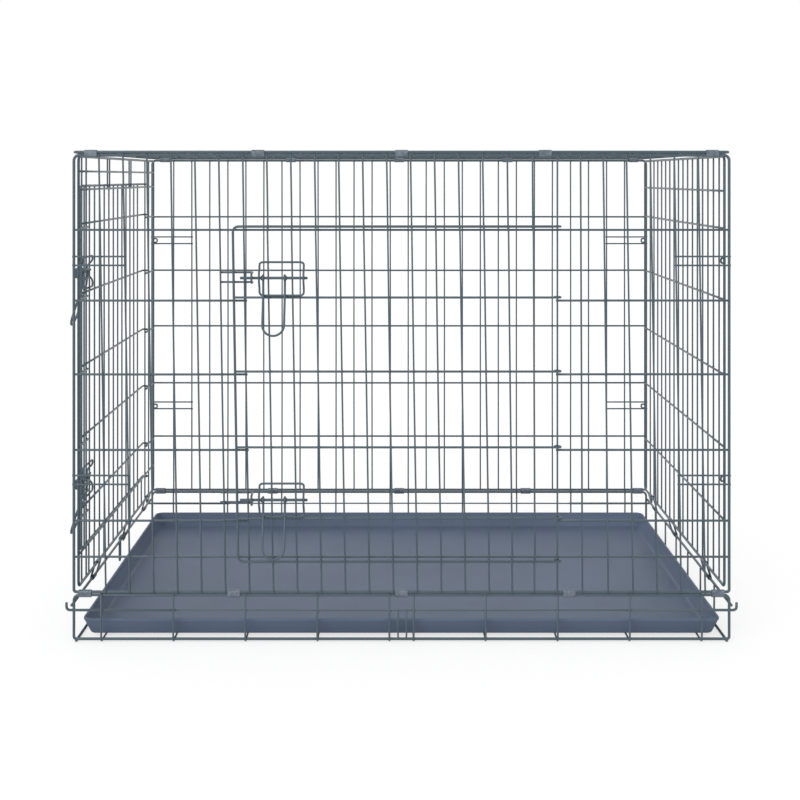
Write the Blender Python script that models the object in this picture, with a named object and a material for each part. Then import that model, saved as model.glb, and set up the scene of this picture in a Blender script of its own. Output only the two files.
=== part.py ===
"""A folding two-door wire dog crate with a slide-out plastic tray.

Lengths are in metres. +Z is up, the long side with the front door faces -Y, and the end
with the second door faces -X. The origin lies on the floor under the middle of the whole crate.

Every wire panel is drawn in its own flat frame first: u runs along the panel, w points out
of the crate and v runs up it. A wire is a straight or bent bar of four sides, crossing
wires overlap by a weld's depth, and each panel's wires are united into one closed body.
"""

import math

import bmesh
import bpy
from mathutils import Matrix, Vector

MM = 0.001

# Overall sizes
WIDTH = 929 * MM
DEPTH = 620 * MM
WALL_HEIGHT = 66.5 * MM
PANEL_HEIGHT = 619 * MM
END_PLANE_INSET = 4 * MM
END_HEIGHT = 608 * MM
END_BOTTOM = 75 * MM
END_SIDE_GAP = 11 * MM

# Wire radii
FRAME_R = 2.1 * MM
ROW_R = 1.6 * MM
BAR_R = 1.3 * MM
END_FRAME_R = 2.0 * MM
BASE_FRAME_R = 2.0 * MM
BASE_BAR_R = 1.4 * MM
HOOK_R = 1.4 * MM
BOLT_R = 2.0 * MM
HANDLE_R = 1.6 * MM
GUIDE_R = 1.5 * MM

# Fits
WELD = 0.5 * MM
GAP = 0.3 * MM
ROW_SET_BACK = 0.2 * MM
CORNER = 7.5 * MM
LAP = 1.8 * MM

# Wire spacing
BAR_COUNT = 26
END_GAP = 40.1 * MM
END_BAR_COUNT = 16
END_BAR_PITCH = 34.6 * MM
ROW_SHARES = (0.163, 0.325, 0.498, 0.667, 0.829)
END_ROW_SHARES = (0.156, 0.327, 0.497, 0.673, 0.840, 0.928)
TOP_ROWS = 3
BASE_BARS = 5
BASE_CENTRE_GAP = 34.4 * MM
BASE_END_GAP = 39.3 * MM
BASE_LONG_WIRES = 6

# Doors
DOOR_FIRST_BAR = 6
DOOR_LAST_BAR = 19
SILL_HEIGHT = 49.6 * MM
DOOR_LAP = 17.8 * MM
DOOR_OVER_TOP = 5 * MM
DOOR_ROW_LIFT = 5 * MM
DOOR_FRAME_R = 1.8 * MM
END_DOOR_LATCH_EDGE = 242 * MM
END_DOOR_HINGE_BAR = 7
END_DOOR_TOP_SHARE = 0.931
END_DOOR_SPARE_ROW = 0.974
TRANSOM_BARS = (79 * MM, 95 * MM)
HINGE_CURL = 240

# Latches
LATCH_HEIGHTS = (205 * MM, 517 * MM)
BOLT_LENGTH = 95.5 * MM
BOLT_REACH = 11 * MM
GUIDE_WIDTH = 62.5 * MM
GUIDE_HEIGHT = 47 * MM
GUIDE_DROP = 1.5 * MM
GUIDE_INSET = 69.5 * MM
GUIDE_CORNER = 6 * MM
GUIDE_ARCH = 14 * MM
HANDLE_WIDTH = 30.5 * MM
HANDLE_OFFSET = 10.5 * MM
HANDLE_LENGTH = 85 * MM
HANDLE_KICK = 18
COLLAR_R = 3.2 * MM
COLLAR_WIDTH = 1.2 * MM
KEEPER_SPREAD = 13.7 * MM
KEEPER_TAIL = 2.5 * MM
KEEPER_NOSE = 10 * MM

# Corner slots and hooks
SLOT_CENTRES = (229.5 * MM, 540 * MM)
SLOT_SPREAD = 12.6 * MM
SLOT_R = 1.3 * MM
SLOT_PROUD = 2.5 * MM
HOOK_SPREAD = 7 * MM

# Base
MID_HEIGHT = 45 * MM
MID_R = 1.2 * MM
CORNER_ROD = 145 * MM
CORNER_ROD_R = 1.9 * MM
J_REACH = 10.5 * MM
J_TIP = 56 * MM
J_RADIUS = 5 * MM
END_WALL_HEIGHT = 52 * MM
END_WALL_OUT = 3 * MM
BEND = 6 * MM
CENTRE_LOOP_WIDTH = 12 * MM
CENTRE_LOOP_OFFSET = 1 * MM

# Hinge clips
CLIP_WIDTH = 18 * MM
CLIP_WALL = 0.8 * MM
CLIP_ROOM = 0.3 * MM
LINK_ROOM = 0.6 * MM
BOTTOM_CLIP_GAPS = (5.5, 12.5, 19.5)
TOP_CLIP_GAPS = (6.5, 12.5, 18.5)
CORNER_CLIP_INSET = 16 * MM
TOP_CORNER_CLIP_INSET = 24 * MM
LINK_FRONT_INSET = 137 * MM
LINK_MIDDLE = 69.2 * MM
LINK_BACK_INSET = 67.8 * MM

# Tray and its stop
TRAY_LENGTH = 910 * MM
TRAY_DEPTH = 604 * MM
TRAY_HEIGHT = 25 * MM
TRAY_SLOPE = 11 * MM
TRAY_WALL = 2 * MM
TRAY_CORNER = 22 * MM
TRAY_COVE = 6 * MM
STOP_PLACE = 44 * MM
STOP_WIDTH = 10 * MM
STOP_LENGTH = 38 * MM
STOP_R = 1.4 * MM

# Places that follow from the sizes
HALF_W = WIDTH / 2
HALF_D = DEPTH / 2
PANEL_BOTTOM = WALL_HEIGHT + BASE_FRAME_R + GAP + FRAME_R
PANEL_TOP = PANEL_BOTTOM + PANEL_HEIGHT
TOP_PLANE = PANEL_TOP + FRAME_R + GAP + FRAME_R
BAR_OUT = ROW_R + BAR_R - WELD - ROW_SET_BACK
END_PLANE = HALF_W - END_PLANE_INSET
END_HALF = HALF_D - END_SIDE_GAP
END_TOP = END_BOTTOM + END_HEIGHT
END_WALL_X = HALF_W + END_WALL_OUT
DOOR_PLANE = BAR_OUT + BAR_R + GAP + ROW_R + BAR_R
DOOR_BAR_OUT = DOOR_PLANE + ROW_R + BAR_R - WELD
CURL_IN = DOOR_PLANE - 2 * BAR_OUT + ROW_R
EYE_R = BOLT_R + GAP + HANDLE_R
BOLT_OUT = DOOR_BAR_OUT + BAR_R + GAP + HANDLE_R + EYE_R
GUIDE_OUT = DOOR_BAR_OUT + BAR_R + GUIDE_R - WELD
ARCH_OUT = BOLT_OUT + BOLT_R + GAP + GUIDE_R

ALONG_U = Vector((1, 0, 0))
OUT = Vector((0, 1, 0))
UP = Vector((0, 0, 1))


def point(u, w, v):
    """A point of a panel's own frame."""
    return Vector((u, w, v))


def arc(centre, radius, first, last, steps, across=ALONG_U, upward=UP):
    """Points on an arc about centre, from angle first to last in degrees."""
    points = []
    for i in range(steps + 1):
        angle = math.radians(first + (last - first) * i / steps)
        points.append(centre + radius * (math.cos(angle) * across + math.sin(angle) * upward))
    return points


def rounded_loop(u0, u1, w, v0, v1, radius, steps=2):
    """A rounded rectangle in the plane w, as a closed path."""
    corners = (
        (u1 - radius, v1 - radius, 0),
        (u0 + radius, v1 - radius, 90),
        (u0 + radius, v0 + radius, 180),
        (u1 - radius, v0 + radius, 270),
    )
    path = []
    for u, v, start in corners:
        path += arc(point(u, w, v), radius, start, start + 90, steps)
    return path


def ring(place, before, after, normal, radius, sides, turn):
    """The corners of a wire's section at one point of its path, mitred at a bend."""
    tangent = (before + after).normalized()
    first = (normal - tangent * normal.dot(tangent)).normalized()
    second = tangent.cross(first)
    bend = after - before
    stretch = 0.0
    if bend.length > 1e-6:
        bend.normalize()
        stretch = 1 / max(0.5, tangent.dot(after)) - 1
    corners = []
    for i in range(sides):
        angle = turn + 2 * math.pi * i / sides
        offset = radius * (math.cos(angle) * first + math.sin(angle) * second)
        corners.append(place + offset + stretch * offset.dot(bend) * bend)
    return corners, first


def wire(bm, path, radius, normal=OUT, closed=False, sides=4, turn=0.0):
    """Adds a bent bar of the given radius along path. The section's first corner looks along normal."""
    count = len(path)
    rings = []
    for i in range(count):
        ahead = path[(i + 1) % count] - path[i]
        behind = path[i] - path[i - 1]
        if not closed and i == 0:
            behind = ahead
        if not closed and i == count - 1:
            ahead = behind
        corners, normal = ring(
            path[i], behind.normalized(), ahead.normalized(), normal, radius, sides, turn
        )
        rings.append([bm.verts.new(corner) for corner in corners])
    for i in range(count if closed else count - 1):
        here = rings[i]
        there = rings[(i + 1) % count]
        for k in range(sides):
            n = (k + 1) % sides
            bm.faces.new((here[k], here[n], there[n], there[k]))
    if not closed:
        bm.faces.new(reversed(rings[0]))
        bm.faces.new(rings[-1])


def straight(bm, start, end, radius, normal=OUT):
    """Adds one straight wire."""
    wire(bm, [start, end], radius, normal)


def make_object(name, bm, place, material):
    """Turns a drawing in a panel's frame into an object in the crate's frame."""
    mesh = bpy.data.meshes.new(name)
    bmesh.ops.transform(bm, matrix=place, verts=bm.verts)
    if place.determinant() < 0:
        bmesh.ops.reverse_faces(bm, faces=bm.faces)
    bm.to_mesh(mesh)
    bm.free()
    made = bpy.data.objects.new(name, mesh)
    bpy.context.scene.collection.objects.link(made)
    mesh.materials.append(material)
    return made


def weld_together(name, bars, rows, place, material):
    """Unites two drawings of overlapping wires into one closed body."""
    body = make_object(name, bars, place, material)
    other = make_object(name + "_rows", rows, place, material)
    union = body.modifiers.new("weld", "BOOLEAN")
    union.operation = "UNION"
    union.solver = "EXACT"
    union.use_self = True
    union.object = other
    depsgraph = bpy.context.evaluated_depsgraph_get()
    welded = bpy.data.meshes.new_from_object(body.evaluated_get(depsgraph))
    body.modifiers.clear()
    body.data = welded
    bpy.data.objects.remove(other)
    return body


def panel_place(side):
    """The matrix that takes a panel's own frame (u, w, v) into the crate's frame."""
    places = {
        "front": (ALONG_U, -OUT, UP, Vector((0, -HALF_D, 0))),
        "back": (ALONG_U, OUT, UP, Vector((0, HALF_D, 0))),
        "left": (OUT, -ALONG_U, UP, Vector((-END_PLANE, 0, 0))),
        "right": (OUT, ALONG_U, UP, Vector((END_PLANE, 0, 0))),
        "top": (ALONG_U, UP, OUT, Vector((0, 0, TOP_PLANE))),
        "crate": (ALONG_U, OUT, UP, Vector((0, 0, 0))),
    }
    u, w, v, origin = places[side]
    place = Matrix((u, w, v)).transposed().to_4x4()
    place.translation = origin
    return place


def set_origin(item, place, parent=None):
    """Moves an object's origin to place, in the crate's frame, and hangs it on its parent."""
    item.data.transform(Matrix.Translation(-place))
    item["place"] = list(place)
    item.location = place
    if parent is not None:
        item.parent = parent
        if "place" in parent:
            item.location = place - Vector(parent["place"])


def bar_places():
    """The places along u of the front and back panels' upright wires."""
    pitch = (WIDTH - 2 * END_GAP) / (BAR_COUNT - 1)
    return [-HALF_W + END_GAP + pitch * k for k in range(BAR_COUNT)]


def end_bar_places():
    """The places along u of an end panel's upright wires."""
    return [END_BAR_PITCH * (k - (END_BAR_COUNT - 1) / 2) for k in range(END_BAR_COUNT)]


def row_heights():
    """The heights of the front and back panels' inner level wires."""
    return [PANEL_BOTTOM + PANEL_HEIGHT * share for share in ROW_SHARES]


def end_row_heights():
    """The heights of an end panel's inner level wires."""
    return [END_BOTTOM + END_HEIGHT * share for share in END_ROW_SHARES]


def add_row(bm, u0, u1, v, radius=ROW_R):
    """One level wire of a panel."""
    straight(bm, point(u0, -ROW_SET_BACK, v), point(u1, -ROW_SET_BACK, v), radius)


def add_bar(bm, u, v0, v1):
    """One upright wire, on the outer side of the level ones, lapping the wires it ends on."""
    straight(bm, point(u, BAR_OUT, v0 - LAP), point(u, BAR_OUT, v1 + LAP), BAR_R)


def add_corner_slots(bm, posts, inner_bars):
    """Short pairs of level wires at both ends, between which the end panels' hooks catch."""
    w = BAR_OUT - BAR_R - SLOT_R + WELD
    for post, bar in zip(posts, inner_bars):
        proud = math.copysign(SLOT_PROUD, post)
        for centre in SLOT_CENTRES:
            for side in (-1, 1):
                v = centre + side * SLOT_SPREAD / 2
                straight(bm, point(post + proud, w, v), point(bar - proud, w, v), SLOT_R)


def add_keeper(bm, edge, outer_bar, v):
    """A hairpin on the latch side whose nose stands out in front of the closed bolt."""
    w = BAR_OUT - BAR_R - GUIDE_R + WELD
    nose = edge + KEEPER_NOSE
    high = v + KEEPER_SPREAD / 2
    low = v - KEEPER_SPREAD / 2
    path = [
        point(outer_bar - KEEPER_TAIL, w, high),
        point(nose - 3 * GUIDE_R, w, high),
        point(nose, w + 3 * GUIDE_R, high),
        point(nose, ARCH_OUT - 2 * GUIDE_R, high),
        point(nose, ARCH_OUT + WELD, high - 2 * GUIDE_R),
        point(nose, ARCH_OUT + WELD, low + 2 * GUIDE_R),
        point(nose, ARCH_OUT - 2 * GUIDE_R, low),
        point(nose, w + 3 * GUIDE_R, low),
        point(nose - 3 * GUIDE_R, w, low),
        point(outer_bar - KEEPER_TAIL, w, low),
    ]
    wire(bm, path, GUIDE_R, UP)


def front_panel(material):
    """The long side with the doorway, whose edge wires are two of the upright ones."""
    bars = bmesh.new()
    rows = bmesh.new()
    places = bar_places()
    heights = row_heights()
    sill = PANEL_BOTTOM + SILL_HEIGHT
    left = places[DOOR_FIRST_BAR]
    right = places[DOOR_LAST_BAR]
    wire(rows, rounded_loop(-HALF_W, HALF_W, 0, PANEL_BOTTOM, PANEL_TOP, CORNER), FRAME_R, closed=True)
    for v in (sill, heights[-1]):
        add_row(rows, -HALF_W, HALF_W, v)
    for v in heights[:-1]:
        add_row(rows, -HALF_W, left + LAP, v)
        add_row(rows, right - LAP, HALF_W, v)
    for k, u in enumerate(places):
        if DOOR_FIRST_BAR < k < DOOR_LAST_BAR:
            add_bar(bars, u, PANEL_BOTTOM, sill)
            add_bar(bars, u, heights[-1], PANEL_TOP)
        else:
            add_bar(bars, u, PANEL_BOTTOM, PANEL_TOP)
    add_corner_slots(rows, (-HALF_W, HALF_W), (places[1], places[-2]))
    for v in LATCH_HEIGHTS:
        add_keeper(rows, left, places[DOOR_FIRST_BAR - 1], v)
    return weld_together("front_panel", bars, rows, panel_place("front"), material)


def back_panel(material):
    """The plain long side."""
    bars = bmesh.new()
    rows = bmesh.new()
    places = bar_places()
    wire(rows, rounded_loop(-HALF_W, HALF_W, 0, PANEL_BOTTOM, PANEL_TOP, CORNER), FRAME_R, closed=True)
    for v in row_heights():
        add_row(rows, -HALF_W, HALF_W, v)
    for u in places:
        add_bar(bars, u, PANEL_BOTTOM, PANEL_TOP)
    add_corner_slots(rows, (-HALF_W, HALF_W), (places[1], places[-2]))
    return weld_together("back_panel", bars, rows, panel_place("back"), material)


def top_panel(material):
    """The roof: front-to-back wires over a few long ones."""
    bars = bmesh.new()
    rows = bmesh.new()
    wire(rows, rounded_loop(-HALF_W, HALF_W, 0, -HALF_D, HALF_D, CORNER), FRAME_R, closed=True)
    for i in range(TOP_ROWS):
        add_row(rows, -HALF_W, HALF_W, -HALF_D + DEPTH * (i + 1) / (TOP_ROWS + 1))
    for u in bar_places():
        add_bar(bars, u, -HALF_D, HALF_D)
    return weld_together("top_panel", bars, rows, panel_place("top"), material)


def add_end_frame(bm):
    """An end panel's outline and the four loops that catch in the corner slots."""
    loop = rounded_loop(-END_HALF, END_HALF, 0, END_BOTTOM, END_TOP, CORNER)
    wire(bm, loop, END_FRAME_R, closed=True)
    reach = HALF_D - CURL_IN - GAP - HOOK_R
    for side in (-1, 1):
        for v in SLOT_CENTRES:
            half = HOOK_SPREAD / 2
            root = side * (END_HALF - ROW_SET_BACK)
            path = [
                point(root, ROW_SET_BACK, v - half),
                point(side * (reach - half / 2), ROW_SET_BACK, v - half),
                point(side * reach, ROW_SET_BACK, v - half / 2),
                point(side * reach, ROW_SET_BACK, v + half / 2),
                point(side * (reach - half / 2), ROW_SET_BACK, v + half),
                point(root, ROW_SET_BACK, v + half),
            ]
            wire(bm, path, HOOK_R)


def right_end_panel(material):
    """The plain end."""
    bars = bmesh.new()
    rows = bmesh.new()
    add_end_frame(rows)
    for v in end_row_heights():
        add_row(rows, -END_HALF, END_HALF, v)
    for u in end_bar_places():
        add_bar(bars, u, END_BOTTOM, END_TOP)
    return weld_together("right_end_panel", bars, rows, panel_place("right"), material)


def end_door_edges():
    """The latch-side and hinge-side edges of the end doorway along u."""
    return -END_DOOR_LATCH_EDGE, END_BAR_PITCH * (END_DOOR_HINGE_BAR - 0.5)


def left_end_panel(material):
    """The end with the second doorway, and only a few upright wires above it."""
    bars = bmesh.new()
    rows = bmesh.new()
    latch_edge, hinge_edge = end_door_edges()
    lintel = END_BOTTOM + END_HEIGHT * END_DOOR_TOP_SHARE
    sill = PANEL_BOTTOM + SILL_HEIGHT
    add_end_frame(rows)
    for v in (sill, lintel, END_BOTTOM + END_HEIGHT * END_DOOR_SPARE_ROW):
        add_row(rows, -END_HALF, END_HALF, v)
    for v in end_row_heights()[:-1]:
        add_row(rows, -END_HALF, latch_edge + LAP, v)
        add_row(rows, hinge_edge - LAP, END_HALF, v)
    for u in ((latch_edge - END_HALF) / 2, latch_edge, hinge_edge, (hinge_edge + END_HALF) / 2):
        add_bar(bars, u, END_BOTTOM, END_TOP)
    for u in end_bar_places():
        if latch_edge < u < hinge_edge - END_BAR_PITCH / 2:
            add_bar(bars, u, END_BOTTOM, sill)
    for u in TRANSOM_BARS:
        add_bar(bars, u, lintel, END_TOP)
        add_bar(bars, -u, lintel, END_TOP)
    for v in LATCH_HEIGHTS:
        add_keeper(rows, latch_edge, (latch_edge - END_HALF) / 2, v)
    return weld_together("left_end_panel", bars, rows, panel_place("left"), material)


def curl(hinge, v):
    """The hook at the end of a door's level wire, round the hinge wire of its panel."""
    radius = DOOR_PLANE - BAR_OUT
    centre = point(hinge, BAR_OUT, v)
    return arc(centre, radius, 90, 90 - HINGE_CURL, 5, ALONG_U, OUT)


def add_guide(bm, middle, v):
    """The rounded loop that holds the bolt: its sides arch out over the bolt."""
    centre = v - GUIDE_DROP
    loop = rounded_loop(
        middle - GUIDE_WIDTH / 2,
        middle + GUIDE_WIDTH / 2,
        GUIDE_OUT,
        centre - GUIDE_HEIGHT / 2,
        centre + GUIDE_HEIGHT / 2,
        GUIDE_CORNER,
    )
    path = []
    for i, corner in enumerate(loop):
        path.append(corner)
        following = loop[(i + 1) % len(loop)]
        if abs(following.z - corner.z) > GUIDE_HEIGHT / 2:
            heading = math.copysign(1, following.z - corner.z)
            for step, out in ((-1, 0), (-0.5, 1), (0.5, 1), (1, 0)):
                height = v + heading * step * GUIDE_ARCH
                path.append(point(corner.x, GUIDE_OUT + out * (ARCH_OUT - GUIDE_OUT), height))
    wire(bm, path, GUIDE_R, OUT, closed=True)


def door(name, side, latch_edge, hinge, bar_list, row_list, top, material):
    """A door of its own wires, outside its panel, curled round the panel's hinge wire."""
    bars = bmesh.new()
    rows = bmesh.new()
    free = latch_edge - DOOR_LAP
    bottom = PANEL_BOTTOM + SILL_HEIGHT - DOOR_OVER_TOP
    stop = hinge - 4 * ROW_R
    outline = [point(stop, DOOR_PLANE, top)]
    outline += arc(point(free + CORNER, DOOR_PLANE, top - CORNER), CORNER, 90, 180, 2)
    outline += arc(point(free + CORNER, DOOR_PLANE, bottom + CORNER), CORNER, 180, 270, 2)
    outline.append(point(stop, DOOR_PLANE, bottom))
    wire(rows, outline, DOOR_FRAME_R)
    for v in (top, bottom):
        wire(rows, [point(stop - 2 * ROW_R, DOOR_PLANE, v)] + curl(hinge, v), ROW_R, UP)
    for v in row_list:
        start = point(free + ROW_SET_BACK, DOOR_PLANE + ROW_SET_BACK / 2, v)
        wire(rows, [start] + curl(hinge, v), ROW_R, UP)
    for u in bar_list:
        start = point(u, DOOR_BAR_OUT, bottom - LAP)
        straight(bars, start, point(u, DOOR_BAR_OUT, top + LAP), BAR_R)
    for v in LATCH_HEIGHTS:
        add_guide(rows, free + GUIDE_INSET, v)
    return weld_together(name, bars, rows, panel_place(side), material)


def latch_bolt(name, side, free, v, material):
    """The sliding rod, with two swaged collars that keep the handle's eyes in place."""
    bm = bmesh.new()
    tip = free + BOLT_REACH
    middle = free + GUIDE_INSET - HANDLE_OFFSET
    spots = [(tip, BOLT_R)]
    for leg in (-1, 1):
        eye = middle + leg * HANDLE_WIDTH / 2
        near = HANDLE_R + GAP
        outer = eye + leg * near + (leg - 1) / 2 * COLLAR_WIDTH
        spots += [(outer, BOLT_R), (outer, COLLAR_R)]
        spots += [(outer + COLLAR_WIDTH, COLLAR_R), (outer + COLLAR_WIDTH, BOLT_R)]
    spots.append((tip + BOLT_LENGTH, BOLT_R))
    rings = []
    for u, radius in spots:
        corners, _ = ring(point(u, BOLT_OUT, v), ALONG_U, ALONG_U, OUT, radius, 6, 0.0)
        rings.append([bm.verts.new(corner) for corner in corners])
    for here, there in zip(rings, rings[1:]):
        for k in range(6):
            n = (k + 1) % 6
            bm.faces.new((here[k], here[n], there[n], there[k]))
    bm.faces.new(reversed(rings[0]))
    bm.faces.new(rings[-1])
    return make_object(name, bm, panel_place(side), material)


def latch_handle(name, side, free, v, material):
    """The U-shaped pull. Its eyes turn on the bolt and its legs rest on the guide's lower wire."""
    bm = bmesh.new()
    middle = free + GUIDE_INSET - HANDLE_OFFSET
    half = HANDLE_WIDTH / 2
    kick = math.radians(HANDLE_KICK)
    rest_drop = GUIDE_DROP + GUIDE_HEIGHT / 2
    rest_out = GUIDE_OUT + GUIDE_R + GAP + HANDLE_R - BOLT_OUT + WELD
    slope = Vector((0, math.sin(kick), -math.cos(kick)))
    straight_run = (HANDLE_LENGTH - rest_drop) / math.cos(kick) - half

    def leg(u):
        """One eye and its leg, from the eye's open end down to the round end."""
        centre = point(u, BOLT_OUT, v)
        path = arc(centre, EYE_R, -60, 180, 5, OUT, UP)
        knee = centre + Vector((0, rest_out, -rest_drop))
        return path + [knee, knee + slope * straight_run]

    first = leg(middle - half)
    second = leg(middle + half)
    bottom_centre = (first[-1] + second[-1]) / 2
    bow = arc(bottom_centre, half, 180, 0, 6, ALONG_U, slope)
    wire(bm, first + bow[1:-1] + second[::-1], HANDLE_R, ALONG_U)
    return make_object(name, bm, panel_place(side), material)


def base_frame(material):
    """The floor mat with its bent-up walls, all welded into one piece."""
    bars = bmesh.new()
    rows = bmesh.new()
    low = BASE_BAR_R
    frame_low = 2 * BASE_BAR_R + BASE_FRAME_R - WELD
    wall_out = HALF_D + BASE_FRAME_R + BASE_BAR_R - WELD
    side_pitch = (HALF_W - BASE_CENTRE_GAP / 2 - BASE_END_GAP) / (BASE_BARS - 1)
    for i in range(BASE_BARS):
        for side in (-1, 1):
            u = side * (BASE_CENTRE_GAP / 2 + side_pitch * i)
            path = [point(u, -wall_out, WALL_HEIGHT + LAP)]
            path += arc(point(u, -wall_out + BEND, low + BEND), BEND, 180, 270, 2, OUT, UP)
            path += arc(point(u, wall_out - BEND, low + BEND), BEND, 270, 360, 2, OUT, UP)
            path.append(point(u, wall_out, WALL_HEIGHT + LAP))
            flat = BASE_BAR_R * math.sqrt(2)
            wire(bars, path, flat, ALONG_U, turn=math.pi / 4)
    for side in (-1, 1):
        w = side * HALF_D
        loop = rounded_loop(-HALF_W, HALF_W, w, frame_low, WALL_HEIGHT, CORNER)
        wire(rows, loop, BASE_FRAME_R, closed=True)
        mid_end = HALF_W - CORNER_ROD + LAP
        straight(rows, point(-mid_end, w, MID_HEIGHT), point(mid_end, w, MID_HEIGHT), MID_R)
        add_corner_rods(rows, w)
        add_end_wires(rows, side)
    add_centre_loop(rows)
    pitch = DEPTH / (BASE_LONG_WIRES + 1)
    long_height = 2 * BASE_BAR_R + BASE_BAR_R - WELD
    for i in range(BASE_LONG_WIRES):
        y = -HALF_D + pitch * (i + 1)
        rise = END_WALL_X - BASE_FRAME_R - BASE_BAR_R + WELD
        path = [point(-HALF_W + CORNER - BASE_FRAME_R, y, long_height)]
        path += arc(point(rise - BEND, y, long_height + BEND), BEND, 270, 360, 2)
        path.append(point(rise, y, END_WALL_HEIGHT + LAP))
        wire(rows, path, BASE_BAR_R)
    return weld_together("base_frame", bars, rows, panel_place("crate"), material)


def add_corner_rods(bm, w):
    """The thicker rods at a wall's ends, whose J hooks turn up outside the end walls' wires."""
    for side in (-1, 1):
        across = Vector((side, 0, 0))
        turn = point(side * (HALF_W + J_REACH - J_RADIUS), w, MID_HEIGHT + J_RADIUS)
        path = [point(side * (HALF_W - CORNER_ROD), w, MID_HEIGHT)]
        path += arc(turn, J_RADIUS, 270, 360, 2, across)
        path.append(point(side * (HALF_W + J_REACH), w, J_TIP))
        wire(bm, path, CORNER_ROD_R)


def add_end_wires(bm, side):
    """One end's floor wire and the wire along the top of its low wall."""
    reach = HALF_D + BASE_FRAME_R - WELD
    floor_x = side * (HALF_W - CORNER)
    straight(bm, point(floor_x, -reach, BASE_FRAME_R), point(floor_x, reach, BASE_FRAME_R), BASE_FRAME_R, UP)
    wall_x = side * END_WALL_X
    ends = (point(wall_x, -reach, END_WALL_HEIGHT), point(wall_x, reach, END_WALL_HEIGHT))
    straight(bm, ends[0], ends[1], BASE_FRAME_R, UP)


def add_centre_loop(bm):
    """The narrow loop in the middle of the front wall, from the middle wire to the floor wire."""
    left = CENTRE_LOOP_OFFSET - CENTRE_LOOP_WIDTH / 2
    right = CENTRE_LOOP_OFFSET + CENTRE_LOOP_WIDTH / 2
    w = -HALF_D - MID_R
    low = 2 * BASE_BAR_R + BASE_FRAME_R
    path = [
        point(left, w, MID_HEIGHT + LAP),
        point(left, w, low + 2 * LAP),
        point(left + 2 * LAP, w, low),
        point(right - 2 * LAP, w, low),
        point(right, w, low + 2 * LAP),
        point(right, w, MID_HEIGHT + LAP),
    ]
    wire(bm, path, MID_R)


def tray(material):
    """The removable pan: flat floor, sloped walls, rounded corners."""
    bm = bmesh.new()
    floor = 3 * BASE_BAR_R + BASE_BAR_R - WELD + GAP
    slope = TRAY_SLOPE
    outlines = (
        (slope, floor),
        (0, floor + TRAY_HEIGHT),
        (TRAY_WALL, floor + TRAY_HEIGHT),
        (slope + TRAY_WALL - TRAY_COVE / 2, floor + TRAY_WALL + TRAY_COVE),
        (slope + TRAY_WALL + TRAY_COVE / 2, floor + TRAY_WALL),
    )
    rings = []
    for inset, height in outlines:
        length = TRAY_LENGTH / 2 - inset
        depth = TRAY_DEPTH / 2 - inset
        corner = max(TRAY_CORNER - inset, TRAY_WALL)
        loop = rounded_loop(-length, length, 0, -depth, depth, corner, 4)
        rings.append([bm.verts.new((p.x, p.z, height)) for p in loop])
    count = len(rings[0])
    for here, there in zip(rings, rings[1:]):
        for k in range(count):
            n = (k + 1) % count
            bm.faces.new((here[k], here[n], there[n], there[k]))
    bm.faces.new(reversed(rings[0]))
    bm.faces.new(rings[-1])
    return make_object("tray", bm, panel_place("crate"), material)


def tray_stop(material):
    """The wire loop that hangs from the left wall's top wire in front of the tray's end."""
    bm = bmesh.new()
    radius = BASE_FRAME_R + GAP + STOP_R
    inward = Vector((1, 0, 0))

    def leg(y):
        """One eye round the wall's top wire and the leg below it."""
        centre = Vector((-END_WALL_X, y, END_WALL_HEIGHT))
        path = arc(centre, radius, -60, 180, 5, inward, UP)
        return path + [centre + Vector((-radius, 0, -STOP_LENGTH + STOP_WIDTH / 2))]

    first = leg(STOP_PLACE - STOP_WIDTH / 2)
    second = leg(STOP_PLACE + STOP_WIDTH / 2)
    bow = arc((first[-1] + second[-1]) / 2, STOP_WIDTH / 2, 180, 360, 4, OUT, UP)
    wire(bm, first + bow[1:-1] + second[::-1], STOP_R, OUT)
    return make_object("tray_stop", bm, panel_place("crate"), material)


def wrap(name, along, first, second, inner, steps, material):
    """A clip of bent sheet round two parallel wires at first and second."""
    bm = bmesh.new()
    axis = (second - first).normalized()
    across = along.cross(axis)
    rings = []
    for radius, end in ((inner, -1), (inner, 1), (inner + CLIP_WALL, 1), (inner + CLIP_WALL, -1)):
        outline = arc(second, radius, 0, 180, steps, across, axis)
        outline += arc(first, radius, 180, 360, steps, across, axis)
        shift = along * (end * CLIP_WIDTH / 2)
        rings.append([bm.verts.new(p + shift) for p in outline])
    count = len(rings[0])
    for here, there in zip(rings, rings[1:] + rings[:1]):
        for k in range(count):
            n = (k + 1) % count
            bm.faces.new((here[k], here[n], there[n], there[k]))
    bmesh.ops.recalc_face_normals(bm, faces=bm.faces)
    return make_object(name, bm, panel_place("crate"), material)


def gap_places(gaps, inset):
    """Where a row of clips sits along X: mid-way between upright wires, and near both corners."""
    places = bar_places()
    pitch = places[1] - places[0]
    inner = [places[0] + pitch * gap for gap in gaps]
    return [-HALF_W + inset] + inner + [HALF_W - inset]


def hinge_clips(material):
    """The clips along the four long hinge lines of the crate."""
    lines = (
        ("front_bottom", -HALF_D, WALL_HEIGHT, PANEL_BOTTOM, BOTTOM_CLIP_GAPS, CORNER_CLIP_INSET),
        ("back_bottom", HALF_D, WALL_HEIGHT, PANEL_BOTTOM, BOTTOM_CLIP_GAPS, CORNER_CLIP_INSET),
        ("front_top", -HALF_D, PANEL_TOP, TOP_PLANE, TOP_CLIP_GAPS, TOP_CORNER_CLIP_INSET),
        ("back_top", HALF_D, PANEL_TOP, TOP_PLANE, TOP_CLIP_GAPS, TOP_CORNER_CLIP_INSET),
    )
    made = []
    for line, y, low, high, gaps, inset in lines:
        for i, x in enumerate(gap_places(gaps, inset)):
            name = f"{line}_clip_{i + 1}"
            first = Vector((x, y, low))
            second = Vector((x, y, high))
            made.append(wrap(name, ALONG_U, first, second, FRAME_R + CLIP_ROOM, 2, material))
    return made


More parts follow.
